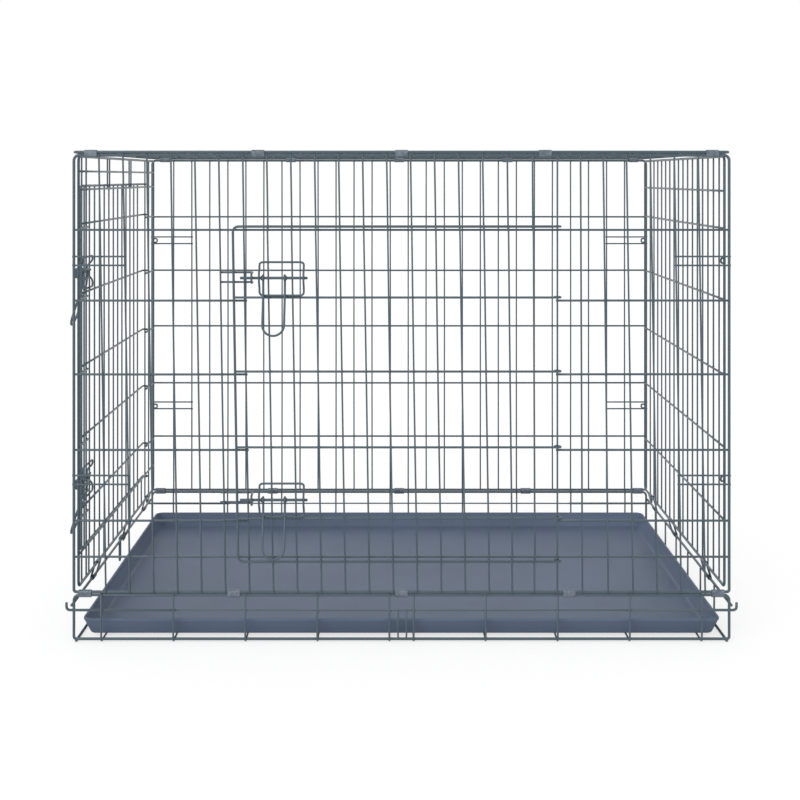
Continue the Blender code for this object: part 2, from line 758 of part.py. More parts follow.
def link_clips(side, panel, material):
    """The longer clips on which an end panel folds, round its bottom wire and the wall's top wire."""
    sign = -1 if side == "left" else 1
    axis = Vector((sign * END_WALL_X, 0, END_WALL_HEIGHT))
    places = (-HALF_D + LINK_FRONT_INSET, LINK_MIDDLE, HALF_D - LINK_BACK_INSET)
    for i, y in enumerate(places):
        first = Vector((sign * END_WALL_X, y, END_WALL_HEIGHT))
        second = Vector((sign * END_PLANE, y, END_BOTTOM))
        clip = wrap(f"{side}_link_clip_{i + 1}", OUT, first, second, END_FRAME_R + LINK_ROOM, 3, material)
        set_origin(clip, axis, panel)


def hang_door(side, panel, latch_edge, hinge, bar_list, row_list, top, enamel):
    """Makes a door with its two latches and hangs it on its panel's hinge wire."""
    place = panel_place(side)
    leaf = door(f"{side}_door", side, latch_edge, hinge, bar_list, row_list, top, enamel)
    set_origin(leaf, place @ point(hinge, BAR_OUT, 0), panel)
    free = latch_edge - DOOR_LAP
    for level, v in zip(("lower", "upper"), LATCH_HEIGHTS):
        bolt = latch_bolt(f"{side}_{level}_latch_bolt", side, free, v, enamel)
        axis = place @ point(free + GUIDE_INSET, BOLT_OUT, v)
        set_origin(bolt, axis, leaf)
        handle = latch_handle(f"{side}_{level}_latch_handle", side, free, v, enamel)
        set_origin(handle, axis, bolt)


def make_material(name, colour, roughness, metallic):
    """A plain surface with the part's colour, roughness and metallic value."""
    material = bpy.data.materials.new(name)
    material.use_nodes = True
    shader = material.node_tree.nodes["Principled BSDF"]
    shader.inputs["Base Color"].default_value = (*colour, 1)
    shader.inputs["Roughness"].default_value = roughness
    shader.inputs["Metallic"].default_value = metallic
    return material


def centre_on_floor():
    """Hangs everything on one empty, placed so that the origin is under the crate's middle."""
    bpy.context.view_layer.update()
    loose = [item for item in bpy.context.scene.objects if item.parent is None]
    corners = []
    for item in bpy.context.scene.objects:
        corners += [item.matrix_world @ Vector(corner) for corner in item.bound_box]
    crate = bpy.data.objects.new("crate", None)
    bpy.context.scene.collection.objects.link(crate)
    for axis in (0, 1):
        values = [corner[axis] for corner in corners]
        crate.location[axis] = -(min(values) + max(values)) / 2
    for item in loose:
        item.parent = crate
    return crate


def build():
    """Makes the whole crate."""
    for item in list(bpy.data.objects):
        bpy.data.objects.remove(item)
    enamel = make_material("wire_enamel", (0.060, 0.083, 0.105), 0.42, 0.0)
    zinc = make_material("clip_zinc", (0.20, 0.23, 0.22), 0.45, 0.8)
    plastic = make_material("tray_plastic", (0.120, 0.150, 0.190), 0.38, 0.0)
    base_frame(enamel)
    front = front_panel(enamel)
    back_panel(enamel)
    top_panel(enamel)
    hinge_clips(zinc)
    pan = tray(plastic)
    set_origin(pan, Vector((-TRAY_LENGTH / 2, 0, 0)))
    catch = tray_stop(enamel)
    set_origin(catch, Vector((-END_WALL_X, STOP_PLACE, END_WALL_HEIGHT)))
    right = right_end_panel(enamel)
    set_origin(right, Vector((END_WALL_X, 0, END_WALL_HEIGHT)))
    link_clips("right", right, zinc)
    left = left_end_panel(enamel)
    set_origin(left, Vector((-END_WALL_X, 0, END_WALL_HEIGHT)))
    link_clips("left", left, zinc)
    places = bar_places()
    heights = row_heights()
    door_rows = [v + DOOR_ROW_LIFT for v in heights[:-1]]
    inner = places[DOOR_FIRST_BAR + 1 : DOOR_LAST_BAR]
    edges = (places[DOOR_FIRST_BAR], places[DOOR_LAST_BAR])
    hang_door("front", front, *edges, inner, door_rows, heights[-1] + DOOR_OVER_TOP, enamel)
    latch_edge, hinge_edge = end_door_edges()
    end_rows = [v + DOOR_ROW_LIFT for v in end_row_heights()[:-1]]
    inner = [u for u in end_bar_places() if latch_edge < u < hinge_edge - END_BAR_PITCH / 2]
    lintel = END_BOTTOM + END_HEIGHT * END_DOOR_TOP_SHARE
    hang_door("left", left, latch_edge, hinge_edge, inner, end_rows, lintel + DOOR_OVER_TOP, enamel)
    centre_on_floor()


build()
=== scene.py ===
"""The looks of a folding wire dog crate: round enamelled wire, zinc clips and a moulded tray.

Every piece is worked out in millimetres on a flat drawing of its own, where u runs along a
panel, w points out of the crate and v runs up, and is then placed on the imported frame. A bar
is a thin upright wire, a row is a level one, and a frame is the thicker wire round a panel.
"""

import logging
import math
from dataclasses import dataclass, field
from enum import Enum

import bpy
import numpy as np
from numpy.typing import NDArray
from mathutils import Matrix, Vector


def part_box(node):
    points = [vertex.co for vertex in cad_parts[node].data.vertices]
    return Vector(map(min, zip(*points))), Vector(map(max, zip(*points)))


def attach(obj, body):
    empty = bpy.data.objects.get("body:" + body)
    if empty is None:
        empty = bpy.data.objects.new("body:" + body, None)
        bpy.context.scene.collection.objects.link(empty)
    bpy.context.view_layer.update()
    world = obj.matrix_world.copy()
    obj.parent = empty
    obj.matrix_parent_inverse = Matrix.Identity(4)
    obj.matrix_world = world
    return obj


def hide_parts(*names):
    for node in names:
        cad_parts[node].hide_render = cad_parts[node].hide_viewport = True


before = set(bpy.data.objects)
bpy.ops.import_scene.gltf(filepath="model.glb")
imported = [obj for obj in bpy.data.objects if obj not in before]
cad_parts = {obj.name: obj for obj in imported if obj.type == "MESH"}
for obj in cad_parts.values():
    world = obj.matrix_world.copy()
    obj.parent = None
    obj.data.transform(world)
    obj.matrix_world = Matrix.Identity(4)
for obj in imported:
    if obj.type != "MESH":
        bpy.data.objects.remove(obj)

MM = 0.001
PHOTO_PIXELS = 800
WHITE = (1.0, 1.0, 1.0, 1.0)
LOG = logging.getLogger("dog_crate")
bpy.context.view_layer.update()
LOW, HIGH = (np.array(corner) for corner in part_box("base_frame"))
CENTRE = np.array([(LOW[0] + HIGH[0]) / 2, (LOW[1] + HIGH[1]) / 2, 0.0])
CHANCE = np.random.default_rng(7)

Points = NDArray[np.float64]
U = np.array([1.0, 0.0, 0.0])
W = np.array([0.0, 1.0, 0.0])
V = np.array([0.0, 0.0, 1.0])


@dataclass(frozen=True)
class Sizes:
    """The crate's driving dimensions in millimetres.

    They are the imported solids' own, but for the weld beads, the sharper foot corners and
    sunk_out, the place of the roof's cross wires, which follow the photograph.
    """

    width: float = 929.0
    depth: float = 620.0
    wall_top: float = 66.5
    panel_height: float = 619.0
    end_bottom: float = 75.0
    end_height: float = 608.0
    end_inset: float = 4.0
    end_gap: float = 11.0
    frame_r: float = 2.1
    end_frame_r: float = 2.0
    row_r: float = 1.6
    bar_r: float = 1.3
    guide_r: float = 1.5
    hook_r: float = 1.4
    bolt_r: float = 2.0
    handle_r: float = 1.6
    weld: float = 0.5
    bead_length: float = 2.6
    bead_r: float = 2.1
    gap: float = 0.3
    set_back: float = 0.2
    corner: float = 7.5
    foot_corner: float = 3.5
    lap: float = 1.8
    bar_count: int = 26
    first_bar: float = 40.1
    end_bar_count: int = 16
    end_pitch: float = 34.6
    door_first: int = 6
    door_last: int = 19
    row_shares: tuple[float, ...] = (0.163, 0.325, 0.498, 0.667, 0.829)
    end_row_shares: tuple[float, ...] = (0.156, 0.327, 0.497, 0.673, 0.840, 0.928)
    lintel_share: float = 0.931
    spare_share: float = 0.974
    sill: float = 49.6
    door_lap: float = 17.8
    door_lift: float = 5.0
    end_latch_edge: float = -242.0
    hinge_pitches: float = 6.5
    end_wall_top: float = 52.0
    end_wall_out: float = 3.0
    slot_spread: float = 12.6
    slot_proud: float = 2.5
    sunk_out: float = 1.0

    @property
    def half_w(self) -> float:
        """Half of the long side."""
        return self.width / 2

    @property
    def half_d(self) -> float:
        """Half of the short side."""
        return self.depth / 2

    @property
    def bottom(self) -> float:
        """The height of the long panels' lower frame wire."""
        return self.wall_top + self.end_frame_r + self.gap + self.frame_r

    @property
    def top(self) -> float:
        """The height of the long panels' upper frame wire."""
        return self.bottom + self.panel_height

    @property
    def roof(self) -> float:
        """The height of the roof's plane."""
        return self.top + 2 * self.frame_r + self.gap

    @property
    def end_top(self) -> float:
        """The height of the end panels' upper frame wire."""
        return self.end_bottom + self.end_height

    @property
    def end_half(self) -> float:
        """Half of an end panel's length."""
        return self.half_d - self.end_gap

    @property
    def end_plane(self) -> float:
        """How far the end panels stand from the middle."""
        return self.half_w - self.end_inset

    @property
    def end_wall(self) -> float:
        """How far the end walls' top wires stand from the middle."""
        return self.half_w + self.end_wall_out

    @property
    def bar_out(self) -> float:
        """How far the upright wires stand out of their panel's plane."""
        return self.row_r + self.bar_r - self.weld - self.set_back

    @property
    def weld_out(self) -> float:
        """How far the middle of a weld between an upright and a level wire stands out."""
        return self.bar_out - self.bar_r + self.weld / 2

    @property
    def door_out(self) -> float:
        """How far a door's frame stands out of its panel's plane."""
        return self.bar_out + 2 * self.bar_r + self.gap + self.row_r

    @property
    def door_bar_out(self) -> float:
        """How far a door's upright wires stand out."""
        return self.door_out + self.row_r + self.bar_r - self.weld

    @property
    def eye_r(self) -> float:
        """The radius of a handle's eye round its bolt."""
        return self.bolt_r + self.gap + self.handle_r

    @property
    def bolt_out(self) -> float:
        """How far a bolt's middle stands out."""
        return self.door_bar_out + self.bar_r + self.gap + self.handle_r + self.eye_r

    @property
    def guide_out(self) -> float:
        """How far a latch guide stands out."""
        return self.door_bar_out + self.bar_r + self.guide_r - self.weld

    @property
    def arch_out(self) -> float:
        """How far a guide arches out over its bolt."""
        return self.bolt_out + self.bolt_r + self.gap + self.guide_r

    def bars(self) -> Points:
        """The places of the long panels' upright wires."""
        reach = self.half_w - self.first_bar
        return np.linspace(-reach, reach, self.bar_count)

    def door_bars(self) -> Points:
        """The places of the upright wires that the front doorway interrupts."""
        return self.bars()[self.door_first + 1:self.door_last]

    def end_bars(self) -> Points:
        """The places of the end panels' upright wires."""
        return self.end_pitch * (np.arange(self.end_bar_count) - (self.end_bar_count - 1) / 2)

    def rows(self) -> Points:
        """The heights of the long panels' inner level wires."""
        return self.bottom + self.panel_height * np.array(self.row_shares)

    def end_rows(self) -> Points:
        """The heights of the end panels' inner level wires."""
        return self.end_bottom + self.end_height * np.array(self.end_row_shares)


S = Sizes()
LATCH_HEIGHTS = {"lower": 205.0, "upper": 517.0}
SLOT_HEIGHTS = (229.5, 540.0)
FRONT_EDGES = (S.bars()[S.door_first], S.bars()[S.door_last])
END_EDGES = (S.end_latch_edge, S.end_pitch * S.hinge_pitches)
END_LINTEL = S.end_bottom + S.end_height * S.lintel_share
END_SPARE_ROW = S.end_bottom + S.end_height * S.spare_share
FRONT_LEAN = 0.016
PLUMB_HEIGHT = 425.0
HINGE_REACH = 60.0
EYE_ARC = (-60, 180, 14)
WIRE_EDGE = 50.0
FITTING_EDGE = 35.0


def end_door_bars() -> Points:
    """The places of the end panels' upright wires that the left doorway interrupts."""
    bars = S.end_bars()
    return bars[(bars > END_EDGES[0]) & (bars < END_EDGES[1] - S.end_pitch / 2)]


@dataclass(frozen=True)
class Place:
    """Where a drawing stands: the crate's directions of its u, w and v, and its origin in mm."""

    u: tuple[float, float, float]
    w: tuple[float, float, float]
    v: tuple[float, float, float]
    origin: tuple[float, float, float]

    def world(self, points: Points) -> Points:
        """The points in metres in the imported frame: centre + origin + u U + w W + v V."""
        axes = np.array([self.u, self.w, self.v])
        return (points @ axes + np.array(self.origin)) * MM + CENTRE

    @property
    def mirrored(self) -> bool:
        """True if the drawing is seen in a mirror."""
        return float(np.linalg.det(np.array([self.u, self.w, self.v]))) < 0


class Side(Enum):
    """The drawings' places on the crate."""

    FRONT = Place((1, 0, 0), (0, -1, 0), (0, 0, 1), (0, -S.half_d, 0))
    BACK = Place((1, 0, 0), (0, 1, 0), (0, 0, 1), (0, S.half_d, 0))
    LEFT = Place((0, 1, 0), (-1, 0, 0), (0, 0, 1), (-S.end_plane, 0, 0))
    RIGHT = Place((0, 1, 0), (1, 0, 0), (0, 0, 1), (S.end_plane, 0, 0))
    TOP = Place((1, 0, 0), (0, 0, 1), (0, 1, 0), (0, 0, S.roof))
    CRATE = Place((1, 0, 0), (0, 1, 0), (0, 0, 1), (0, 0, 0))


def unit(vectors: Points) -> Points:
    """Each vector divided by its length."""
    return vectors / np.maximum(np.linalg.norm(vectors, axis=-1, keepdims=True), 1e-12)


def arc(centre: Points, radius: float, first: float, last: float, steps: int,
        across: Points = U, upward: Points = V) -> Points:
    """Points on an arc: centre + radius * (across * cos a + upward * sin a).

    Args:
        centre: The arc's centre.
        radius: Its radius.
        first: The angle of its first point, in degrees.
        last: The angle of its last point, in degrees.
        steps: How many chords it has.
        across: The direction of angle 0.
        upward: The direction of angle 90.

    Returns:
        An array of steps + 1 points.
    """
    angle = np.radians(np.linspace(first, last, steps + 1))[:, None]
    return np.asarray(centre) + radius * (np.cos(angle) * across + np.sin(angle) * upward)


def soften(points: Points, radius: float, steps: int = 5, closed: bool = False) -> Points:
    """Rounds a path's corners, each with a quadratic curve.

    The curve from a to b by the corner c is (1 - t)^2 a + 2 t (1 - t) c + t^2 b, where a and b
    lie at radius before and after the corner, or half-way along a shorter side.

    Args:
        points: The path's corners.
        radius: How far from a corner its curve starts.
        steps: How many chords a curve has.
        closed: True if the path returns to its start.

    Returns:
        The rounded path.
    """
    points = np.asarray(points, dtype=float)
    before = np.roll(points, 1, axis=0) - points
    after = np.roll(points, -1, axis=0) - points
    reach_a = np.minimum(radius, np.linalg.norm(before, axis=1) * 0.49)[:, None]
    reach_b = np.minimum(radius, np.linalg.norm(after, axis=1) * 0.49)[:, None]
    a = (points + unit(before) * reach_a)[:, None]
    b = (points + unit(after) * reach_b)[:, None]
    t = np.linspace(0, 1, steps + 1)[None, :, None]
    curves = (1 - t) ** 2 * a + 2 * t * (1 - t) * points[:, None] + t ** 2 * b
    if closed:
        return curves.reshape(-1, 3)
    inner = curves[1:-1].reshape(-1, 3)
    return np.concatenate([points[:1], inner, points[-1:]])


def rounded_loop(u0: float, u1: float, w: float, v0: float, v1: float, head: float, foot: float,
                 steps: int = 6) -> Points:
    """A rounded rectangle in a plane of constant w, as four quarter arcs joined by straight runs.

    Args:
        u0: Its left side.
        u1: Its right side.
        w: Its plane.
        v0: Its lower side.
        v1: Its upper side.
        head: The radius of its upper corners.
        foot: The radius of its lower corners.
        steps: How many chords a corner has.

    Returns:
        The points of the closed loop.
    """
    corners = (
        (u1 - head, v1 - head, head, 0),
        (u0 + head, v1 - head, head, 90),
        (u0 + foot, v0 + foot, foot, 180),
        (u1 - foot, v0 + foot, foot, 270),
    )
    quarters = [arc(np.array([u, w, v]), bend, a, a + 90, steps) for u, v, bend, a in corners]
    return np.concatenate(quarters)


@dataclass
class Surface:
    """A closed mesh: its points, its faces' corners one after another, and each face's count."""

    points: Points
    corners: NDArray[np.int64]
    counts: NDArray[np.int64]


def loft(rings: Points, closed: bool) -> Surface:
    """Closed skins over rings of points, with a flat face on each open end.

    The point k of ring i of skin n is number (n * rings + i) * sides + k, and a face joins
    it to k + 1 and to the ring after it.

    Args:
        rings: Points shaped (skins, rings, sides, 3), each ring turning left about its path.
        closed: True if the last ring joins the first.

    Returns:
        All the skins as one surface.
    """
    skins, count, sides, _ = rings.shape
    number = np.arange(skins * count * sides).reshape(skins, count, sides)
    around = np.roll(number, -1, axis=2)
    ahead = np.roll(number, -1, axis=1)
    ahead_around = np.roll(ahead, -1, axis=2)
    quads = np.stack([number, around, ahead_around, ahead], axis=-1)
    if closed:
        return Surface(rings.reshape(-1, 3), quads.reshape(-1), np.full(quads.size // 4, 4))
    quads = quads[:, :-1]
    ends = np.concatenate([number[:, 0, ::-1], number[:, -1]])
    corners = np.concatenate([quads.reshape(-1), ends.reshape(-1)])
    counts = np.concatenate([np.full(quads.size // 4, 4), np.full(len(ends), sides)])
    return Surface(rings.reshape(-1, 3), corners, counts)


def tubes(paths: Points, radius: float | Points, normal: Points = W, sides: int = 10,
          closed: bool = False) -> Surface:
    """Round wires along paths.

    A ring's point is centre + radius * (first * cos a + second * sin a), where first is the
    normal made square to the path's direction and second is square to both.

    Args:
        paths: One path (points, 3) or many of as many points (wires, points, 3).
        radius: The wire's radius, or one for each point of the path.
        normal: A direction that no part of the path runs along.
        sides: How many sides a wire has.
        closed: True if each path returns to its start.

    Returns:
        The wires as one surface, open ends with a small chamfer.
    """
    chamfer = 0.3
    paths = paths[None] if paths.ndim == 2 else paths
    radii = np.broadcast_to(np.asarray(radius, dtype=float), paths.shape[1]).copy()
    if not closed:
        start = unit(paths[:, 1] - paths[:, 0])[:, None] * radii[0] * chamfer
        end = unit(paths[:, -1] - paths[:, -2])[:, None] * radii[-1] * chamfer
        paths = np.concatenate([paths[:, :1], paths[:, :1] + start, paths[:, 1:-1],
                                paths[:, -1:] - end, paths[:, -1:]], axis=1)
        tips = radii[[0, -1]] * (1 - chamfer)
        radii = np.concatenate([tips[:1], radii, tips[1:]])
    ahead = np.roll(paths, -1, axis=1) - paths
    behind = paths - np.roll(paths, 1, axis=1)
    if not closed:
        ahead[:, -1] = behind[:, -1]
        behind[:, 0] = ahead[:, 0]
    direction = unit(unit(ahead) + unit(behind))
    second = unit(np.cross(direction, normal))
    first = np.cross(second, direction)
    angle = 2 * math.pi * np.arange(sides) / sides
    cosine = np.cos(angle)[:, None]
    sine = np.sin(angle)[:, None]
    spokes = cosine * first[:, :, None] + sine * second[:, :, None]
    return loft(paths[:, :, None] + radii[None, :, None, None] * spokes, closed)


def bowed(starts: Points, ends: Points, bow: Points, steps: int = 6) -> Points:
    """Paths of nearly straight wires: start + (end - start) t + bow sin(pi t)."""
    t = np.linspace(0, 1, steps + 1)[None, :, None]
    return starts[:, None] * (1 - t) + ends[:, None] * t + bow[:, None] * np.sin(math.pi * t)


def beads(points: Points, height: float, radius: float, sides: int = 8) -> Surface:
    """The small swollen welds where wires cross, each a short barrel along w.

    A point is middle + height * share * W + radius * size * (U cos a - V sin a), where size is
    1 in the middle and less at both ends.

    Args:
        points: The barrels' middles.
        height: How long a barrel is.
        radius: Its largest radius.
        sides: How many sides it has.

    Returns:
        All the barrels as one surface.
    """
    shares = np.array([-0.5, -0.2, 0.2, 0.5])
    sizes = np.array([0.45, 1.0, 1.0, 0.45])
    paths = points[:, None] + shares[None, :, None] * height * W
    angle = 2 * math.pi * np.arange(sides) / sides
    spokes = np.cos(angle)[:, None] * U + np.sin(angle)[:, None] * np.cross(W, U)
    return loft(paths[:, :, None] + radius * sizes[None, :, None, None] * spokes, False)


@dataclass
class Weldment:
    """One piece being drawn: surfaces in a panel's flat drawing, in millimetres."""

    side: Side
    bow: float = 0.45
    lean: float = 0.0
    long_row: float = 500.0
    long_bar: float = 300.0
    surfaces: list[Surface] = field(default_factory=list)

    def add(self, surface: Surface) -> None:
        """Adds one surface."""
        self.surfaces.append(surface)

    def strayed(self, places: Points, height: float | Points) -> Points:
        """Where bars pass a height: place + lean (plumb height - height), less near the hinge."""
        near = np.exp(-((places - FRONT_EDGES[1]) / HINGE_REACH) ** 2)
        return places + self.lean * (PLUMB_HEIGHT - height) * (1 - near)

    def wire(self, path: Points, radius: float, normal: Points = W, closed: bool = False,
             sides: int = 12) -> None:
        """Adds one bent wire."""
        self.add(tubes(np.asarray(path, dtype=float), radius, normal, sides, closed))

    def outline(self, u0: float, u1: float, v0: float, v1: float, radius: float, w: float = 0.0,
                foot: float = S.corner) -> None:
        """Adds a closed frame wire with rounded corners, the lower two of radius foot."""
        self.wire(rounded_loop(u0, u1, w, v0, v1, S.corner, foot), radius, closed=True)

    def level(self, heights: Points, u0: float, u1: float, radius: float = S.row_r,
              w: float = -S.set_back) -> None:
        """Adds level wires, each with a slight bow of its own up or down.

        Args:
            heights: Their heights.
            u0: Where they start.
            u1: Where they end.
            radius: Their radius.
            w: How far they stand out.
        """
        heights = np.atleast_1d(np.asarray(heights, dtype=float))
        one = np.ones_like(heights)
        starts = np.stack([one * u0, one * w, heights], axis=1)
        ends = np.stack([one * u1, one * w, heights], axis=1)
        share = min(1.0, abs(u1 - u0) / self.long_row)
        bow = CHANCE.uniform(-1, 1, len(heights))[:, None] * V * self.bow * share
        self.add(tubes(bowed(starts, ends, bow), radius, W))

    def upright(self, places: Points, v0: float, v1: float, w: float = S.bar_out,
                radius: float = S.bar_r, lap: float = S.lap) -> None:
        """Adds upright wires, each with a slight bow of its own to the left or right.

        Args:
            places: Where they stand at the height at which they are plumb.
            v0: The height of the wire at their feet.
            v1: The height of the wire at their heads.
            w: How far they stand out.
            radius: Their radius.
            lap: How far they run past both wires.
        """
        places = np.atleast_1d(np.asarray(places, dtype=float))
        one = np.ones_like(places)
        starts = np.stack([self.strayed(places, v0), one * w, one * (v0 - lap)], axis=1)
        ends = np.stack([self.strayed(places, v1), one * w, one * (v1 + lap)], axis=1)
        share = min(1.0, abs(v1 - v0) / self.long_bar)
        bow = CHANCE.uniform(-1, 1, len(places))[:, None] * U * self.bow * share
        self.add(tubes(bowed(starts, ends, bow), radius, W))

    def welds(self, places: Points, heights: Points, w: float = S.weld_out) -> None:
        """Adds a weld wherever one of the places crosses one of the heights.

        Args:
            places: Where the upright wires stand.
            heights: Where the level wires lie.
            w: How far the welds' middles stand out.
        """
        places = np.atleast_1d(np.asarray(places, dtype=float))
        heights = np.atleast_1d(np.asarray(heights, dtype=float))
        u, v = (grid.reshape(-1) for grid in np.meshgrid(places, heights))
        middles = np.stack([self.strayed(u, v), np.full_like(u, w), v], axis=1)
        self.add(beads(middles, S.bead_length, S.bead_r))

    def make(self, name: str, finish: "Finish", sharp: float = WIRE_EDGE) -> bpy.types.Object:
        """Joins the surfaces into one smooth object at the origin.

        Args:
            name: The new piece's name.
            finish: Its finish.
            sharp: The angle in degrees past which an edge stays sharp.

        Returns:
            The object.
        """
        place = self.side.value
        starts = np.cumsum([0] + [len(surface.points) for surface in self.surfaces])
        points = place.world(np.concatenate([surface.points for surface in self.surfaces]))
        corners = np.concatenate(
            [surface.corners + start for surface, start in zip(self.surfaces, starts)])
        counts = np.concatenate([surface.counts for surface in self.surfaces])
        if place.mirrored:
            corners = corners[::-1]
            counts = counts[::-1]
        mesh = bpy.data.meshes.new(name)
        mesh.vertices.add(len(points))
        mesh.vertices.foreach_set("co", points.reshape(-1).astype(np.float32))
        mesh.loops.add(len(corners))
        mesh.loops.foreach_set("vertex_index", corners.astype(np.int32))
        mesh.polygons.add(len(counts))
        mesh.polygons.foreach_set("loop_start", (np.cumsum(counts) - counts).astype(np.int32))
        mesh.update(calc_edges=True)
        mesh.validate()
        mesh.polygons.foreach_set("use_smooth", np.ones(len(counts), dtype=bool))
        mesh.set_sharp_from_angle(angle=math.radians(sharp))
        mesh.materials.append(finish.material())
        made = bpy.data.objects.new(name, mesh)
        bpy.context.scene.collection.objects.link(made)
        return made


def linear(text: str) -> tuple[float, float, float, float]:
    """Turns an sRGB hex colour into linear values.

    A value c becomes c / 12.92 where it is 0.04045 or less, otherwise ((c + 0.055) / 1.055)^2.4.

    Args:
        text: The colour, such as "#4a5a66".

    Returns:
        Red, green and blue, and an opacity of 1.
    """
    values = np.array([int(text[i:i + 2], 16) for i in (1, 3, 5)]) / 255
    low = values / 12.92
    high = ((values + 0.055) / 1.055) ** 2.4
    return (*np.where(values <= 0.04045, low, high).tolist(), 1.0)


def add_node(tree: bpy.types.NodeTree, kind: str, inputs: dict | None = None,
             settings: dict | None = None, links: dict | None = None) -> bpy.types.Node:
    """Adds a node to a material's tree.

    Args:
        tree: The tree.
        kind: The node's type.
        inputs: Values for its sockets, by name or number.
        settings: Values for its own properties.
        links: Output sockets to link to its sockets, by name or number.

    Returns:
        The node.
    """
    node = tree.nodes.new(kind)
    for key, value in (settings or {}).items():
        setattr(node, key, value)
    for key, value in (inputs or {}).items():
        node.inputs[key].default_value = value
    for key, output in (links or {}).items():
        tree.links.new(output, node.inputs[key])
    return node


@dataclass(frozen=True)
class Finish:
    """A surface's colours and gloss, and the size in millimetres of what varies on it.

    The colour and the gloss vary a little between two values by one pattern of patches, a
    noise or the cells of a zinc coat, and another noise lifts the surface.
    """

    name: str
    slot: str
    colour: str
    second_colour: str
    roughness: float
    roughness_spread: float
    metallic: float
    patch: float
    grain: float
    grain_height: float
    specular: float = 0.5
    spangle: bool = False

    def material(self) -> bpy.types.Material:
        """The finish's material, made when it is first asked for.

        Returns:
            The material.
        """
        known = bpy.data.materials.get(self.name)
        if known is not None:
            return known
        material = bpy.data.materials.new(self.name)
        material.use_nodes = True
        tree = material.node_tree
        shader = tree.nodes["Principled BSDF"]
        place = {"Vector": add_node(tree, "ShaderNodeTexCoord").outputs["Object"]}
        patches = {"Scale": 1 / (self.patch * MM)}
        if self.spangle:
            cells = add_node(tree, "ShaderNodeTexVoronoi", patches, links=place).outputs["Color"]
            share = add_node(tree, "ShaderNodeSeparateColor", links={0: cells}).outputs[0]
        else:
            patches.update({"Detail": 3.0, "Roughness": 0.55})
            share = add_node(tree, "ShaderNodeTexNoise", patches, links=place).outputs["Fac"]
        mix = add_node(tree, "ShaderNodeMix", settings={"data_type": "RGBA"}, links={0: share})
        mix.inputs[6].default_value = linear(self.colour)
        mix.inputs[7].default_value = linear(self.second_colour)
        tree.links.new(mix.outputs[2], shader.inputs["Base Color"])
        limits = {"To Min": self.roughness - self.roughness_spread,
                  "To Max": self.roughness + self.roughness_spread}
        gloss = add_node(tree, "ShaderNodeMapRange", limits, links={"Value": share})
        tree.links.new(gloss.outputs["Result"], shader.inputs["Roughness"])
        grains = {"Scale": 1 / (self.grain * MM), "Detail": 2.0}
        lift = add_node(tree, "ShaderNodeTexNoise", grains, links=place)
        bump = add_node(tree, "ShaderNodeBump", {"Strength": 1.0, "Distance": self.grain_height * MM},
                        links={"Height": lift.outputs["Fac"]})
        tree.links.new(bump.outputs["Normal"], shader.inputs["Normal"])
        shader.inputs["Metallic"].default_value = self.metallic
        shader.inputs["Specular IOR Level"].default_value = self.specular
        return material


# Stove enamel on drawn steel wire, dipped and baked: a soft gloss with a faint orange peel.
ENAMEL = Finish(
    name="dipped_slate_enamel", slot="wire_enamel", colour="#445660", second_colour="#50626d",
    roughness=0.32, roughness_spread=0.05, metallic=0.0, patch=60, grain=1.6, grain_height=0.03,
)
# Galvanised strip, bent cold: its zinc crystals show as patches of unlike grey.
ZINC = Finish(
    name="galvanised_strip", slot="clip_zinc", colour="#5c6772", second_colour="#76818d",
    roughness=0.42, roughness_spread=0.08, metallic=0.3, patch=3.5, grain=0.7, grain_height=0.02,
    spangle=True,
)
# Moulded polyethylene: an even slate colour, a fine mould grain and a soft shine.
PLASTIC = Finish(
    name="moulded_slate_polyethylene", slot="tray_plastic", colour="#576578",
    second_colour="#75829a", roughness=0.40, roughness_spread=0.05, metallic=0.0, patch=190,
    grain=0.9, grain_height=0.04, specular=0.08,
)


def hand_over(piece: bpy.types.Object, body: str, *nodes: str) -> None:
    """Makes a piece ride on a body in the place of CAD nodes, and reports it.

    Args:
        piece: The finished piece.
        body: The body that it rides on.
        nodes: The CAD nodes that it stands for.
    """
    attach(piece, body)
    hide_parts(*nodes)
    LOG.info("%s: %d faces on %s", piece.name, len(piece.data.polygons), body)


@dataclass
class Keeper:
    """The hairpin on a panel whose nose stands out in front of the closed bolt."""

    edge: float
    outer_bar: float
    height: float
    spread: float = 13.7
    overhang: float = 10.0
    tail: float = 2.5
    bend: float = 4.5

    def add_to(self, drawing: Weldment) -> None:
        """Adds the hairpin: in from a bar, out over the doorway's edge, down and back.

        Args:
            drawing: The panel's drawing.
        """
        root = self.outer_bar - self.tail
        nose = self.edge + self.overhang
        near = S.bar_out - S.bar_r - S.guide_r + S.weld
        far = S.arch_out + S.weld
        high = self.height + self.spread / 2
        low = self.height - self.spread / 2
        path = [(root, near, high), (nose, near, high), (nose, far, high),
                (nose, far, low), (nose, near, low), (root, near, low)]
        slant = unit(np.array([1.0, 1.2, 0.9]))
        drawing.wire(soften(np.array(path), self.bend, 6), S.guide_r, slant)


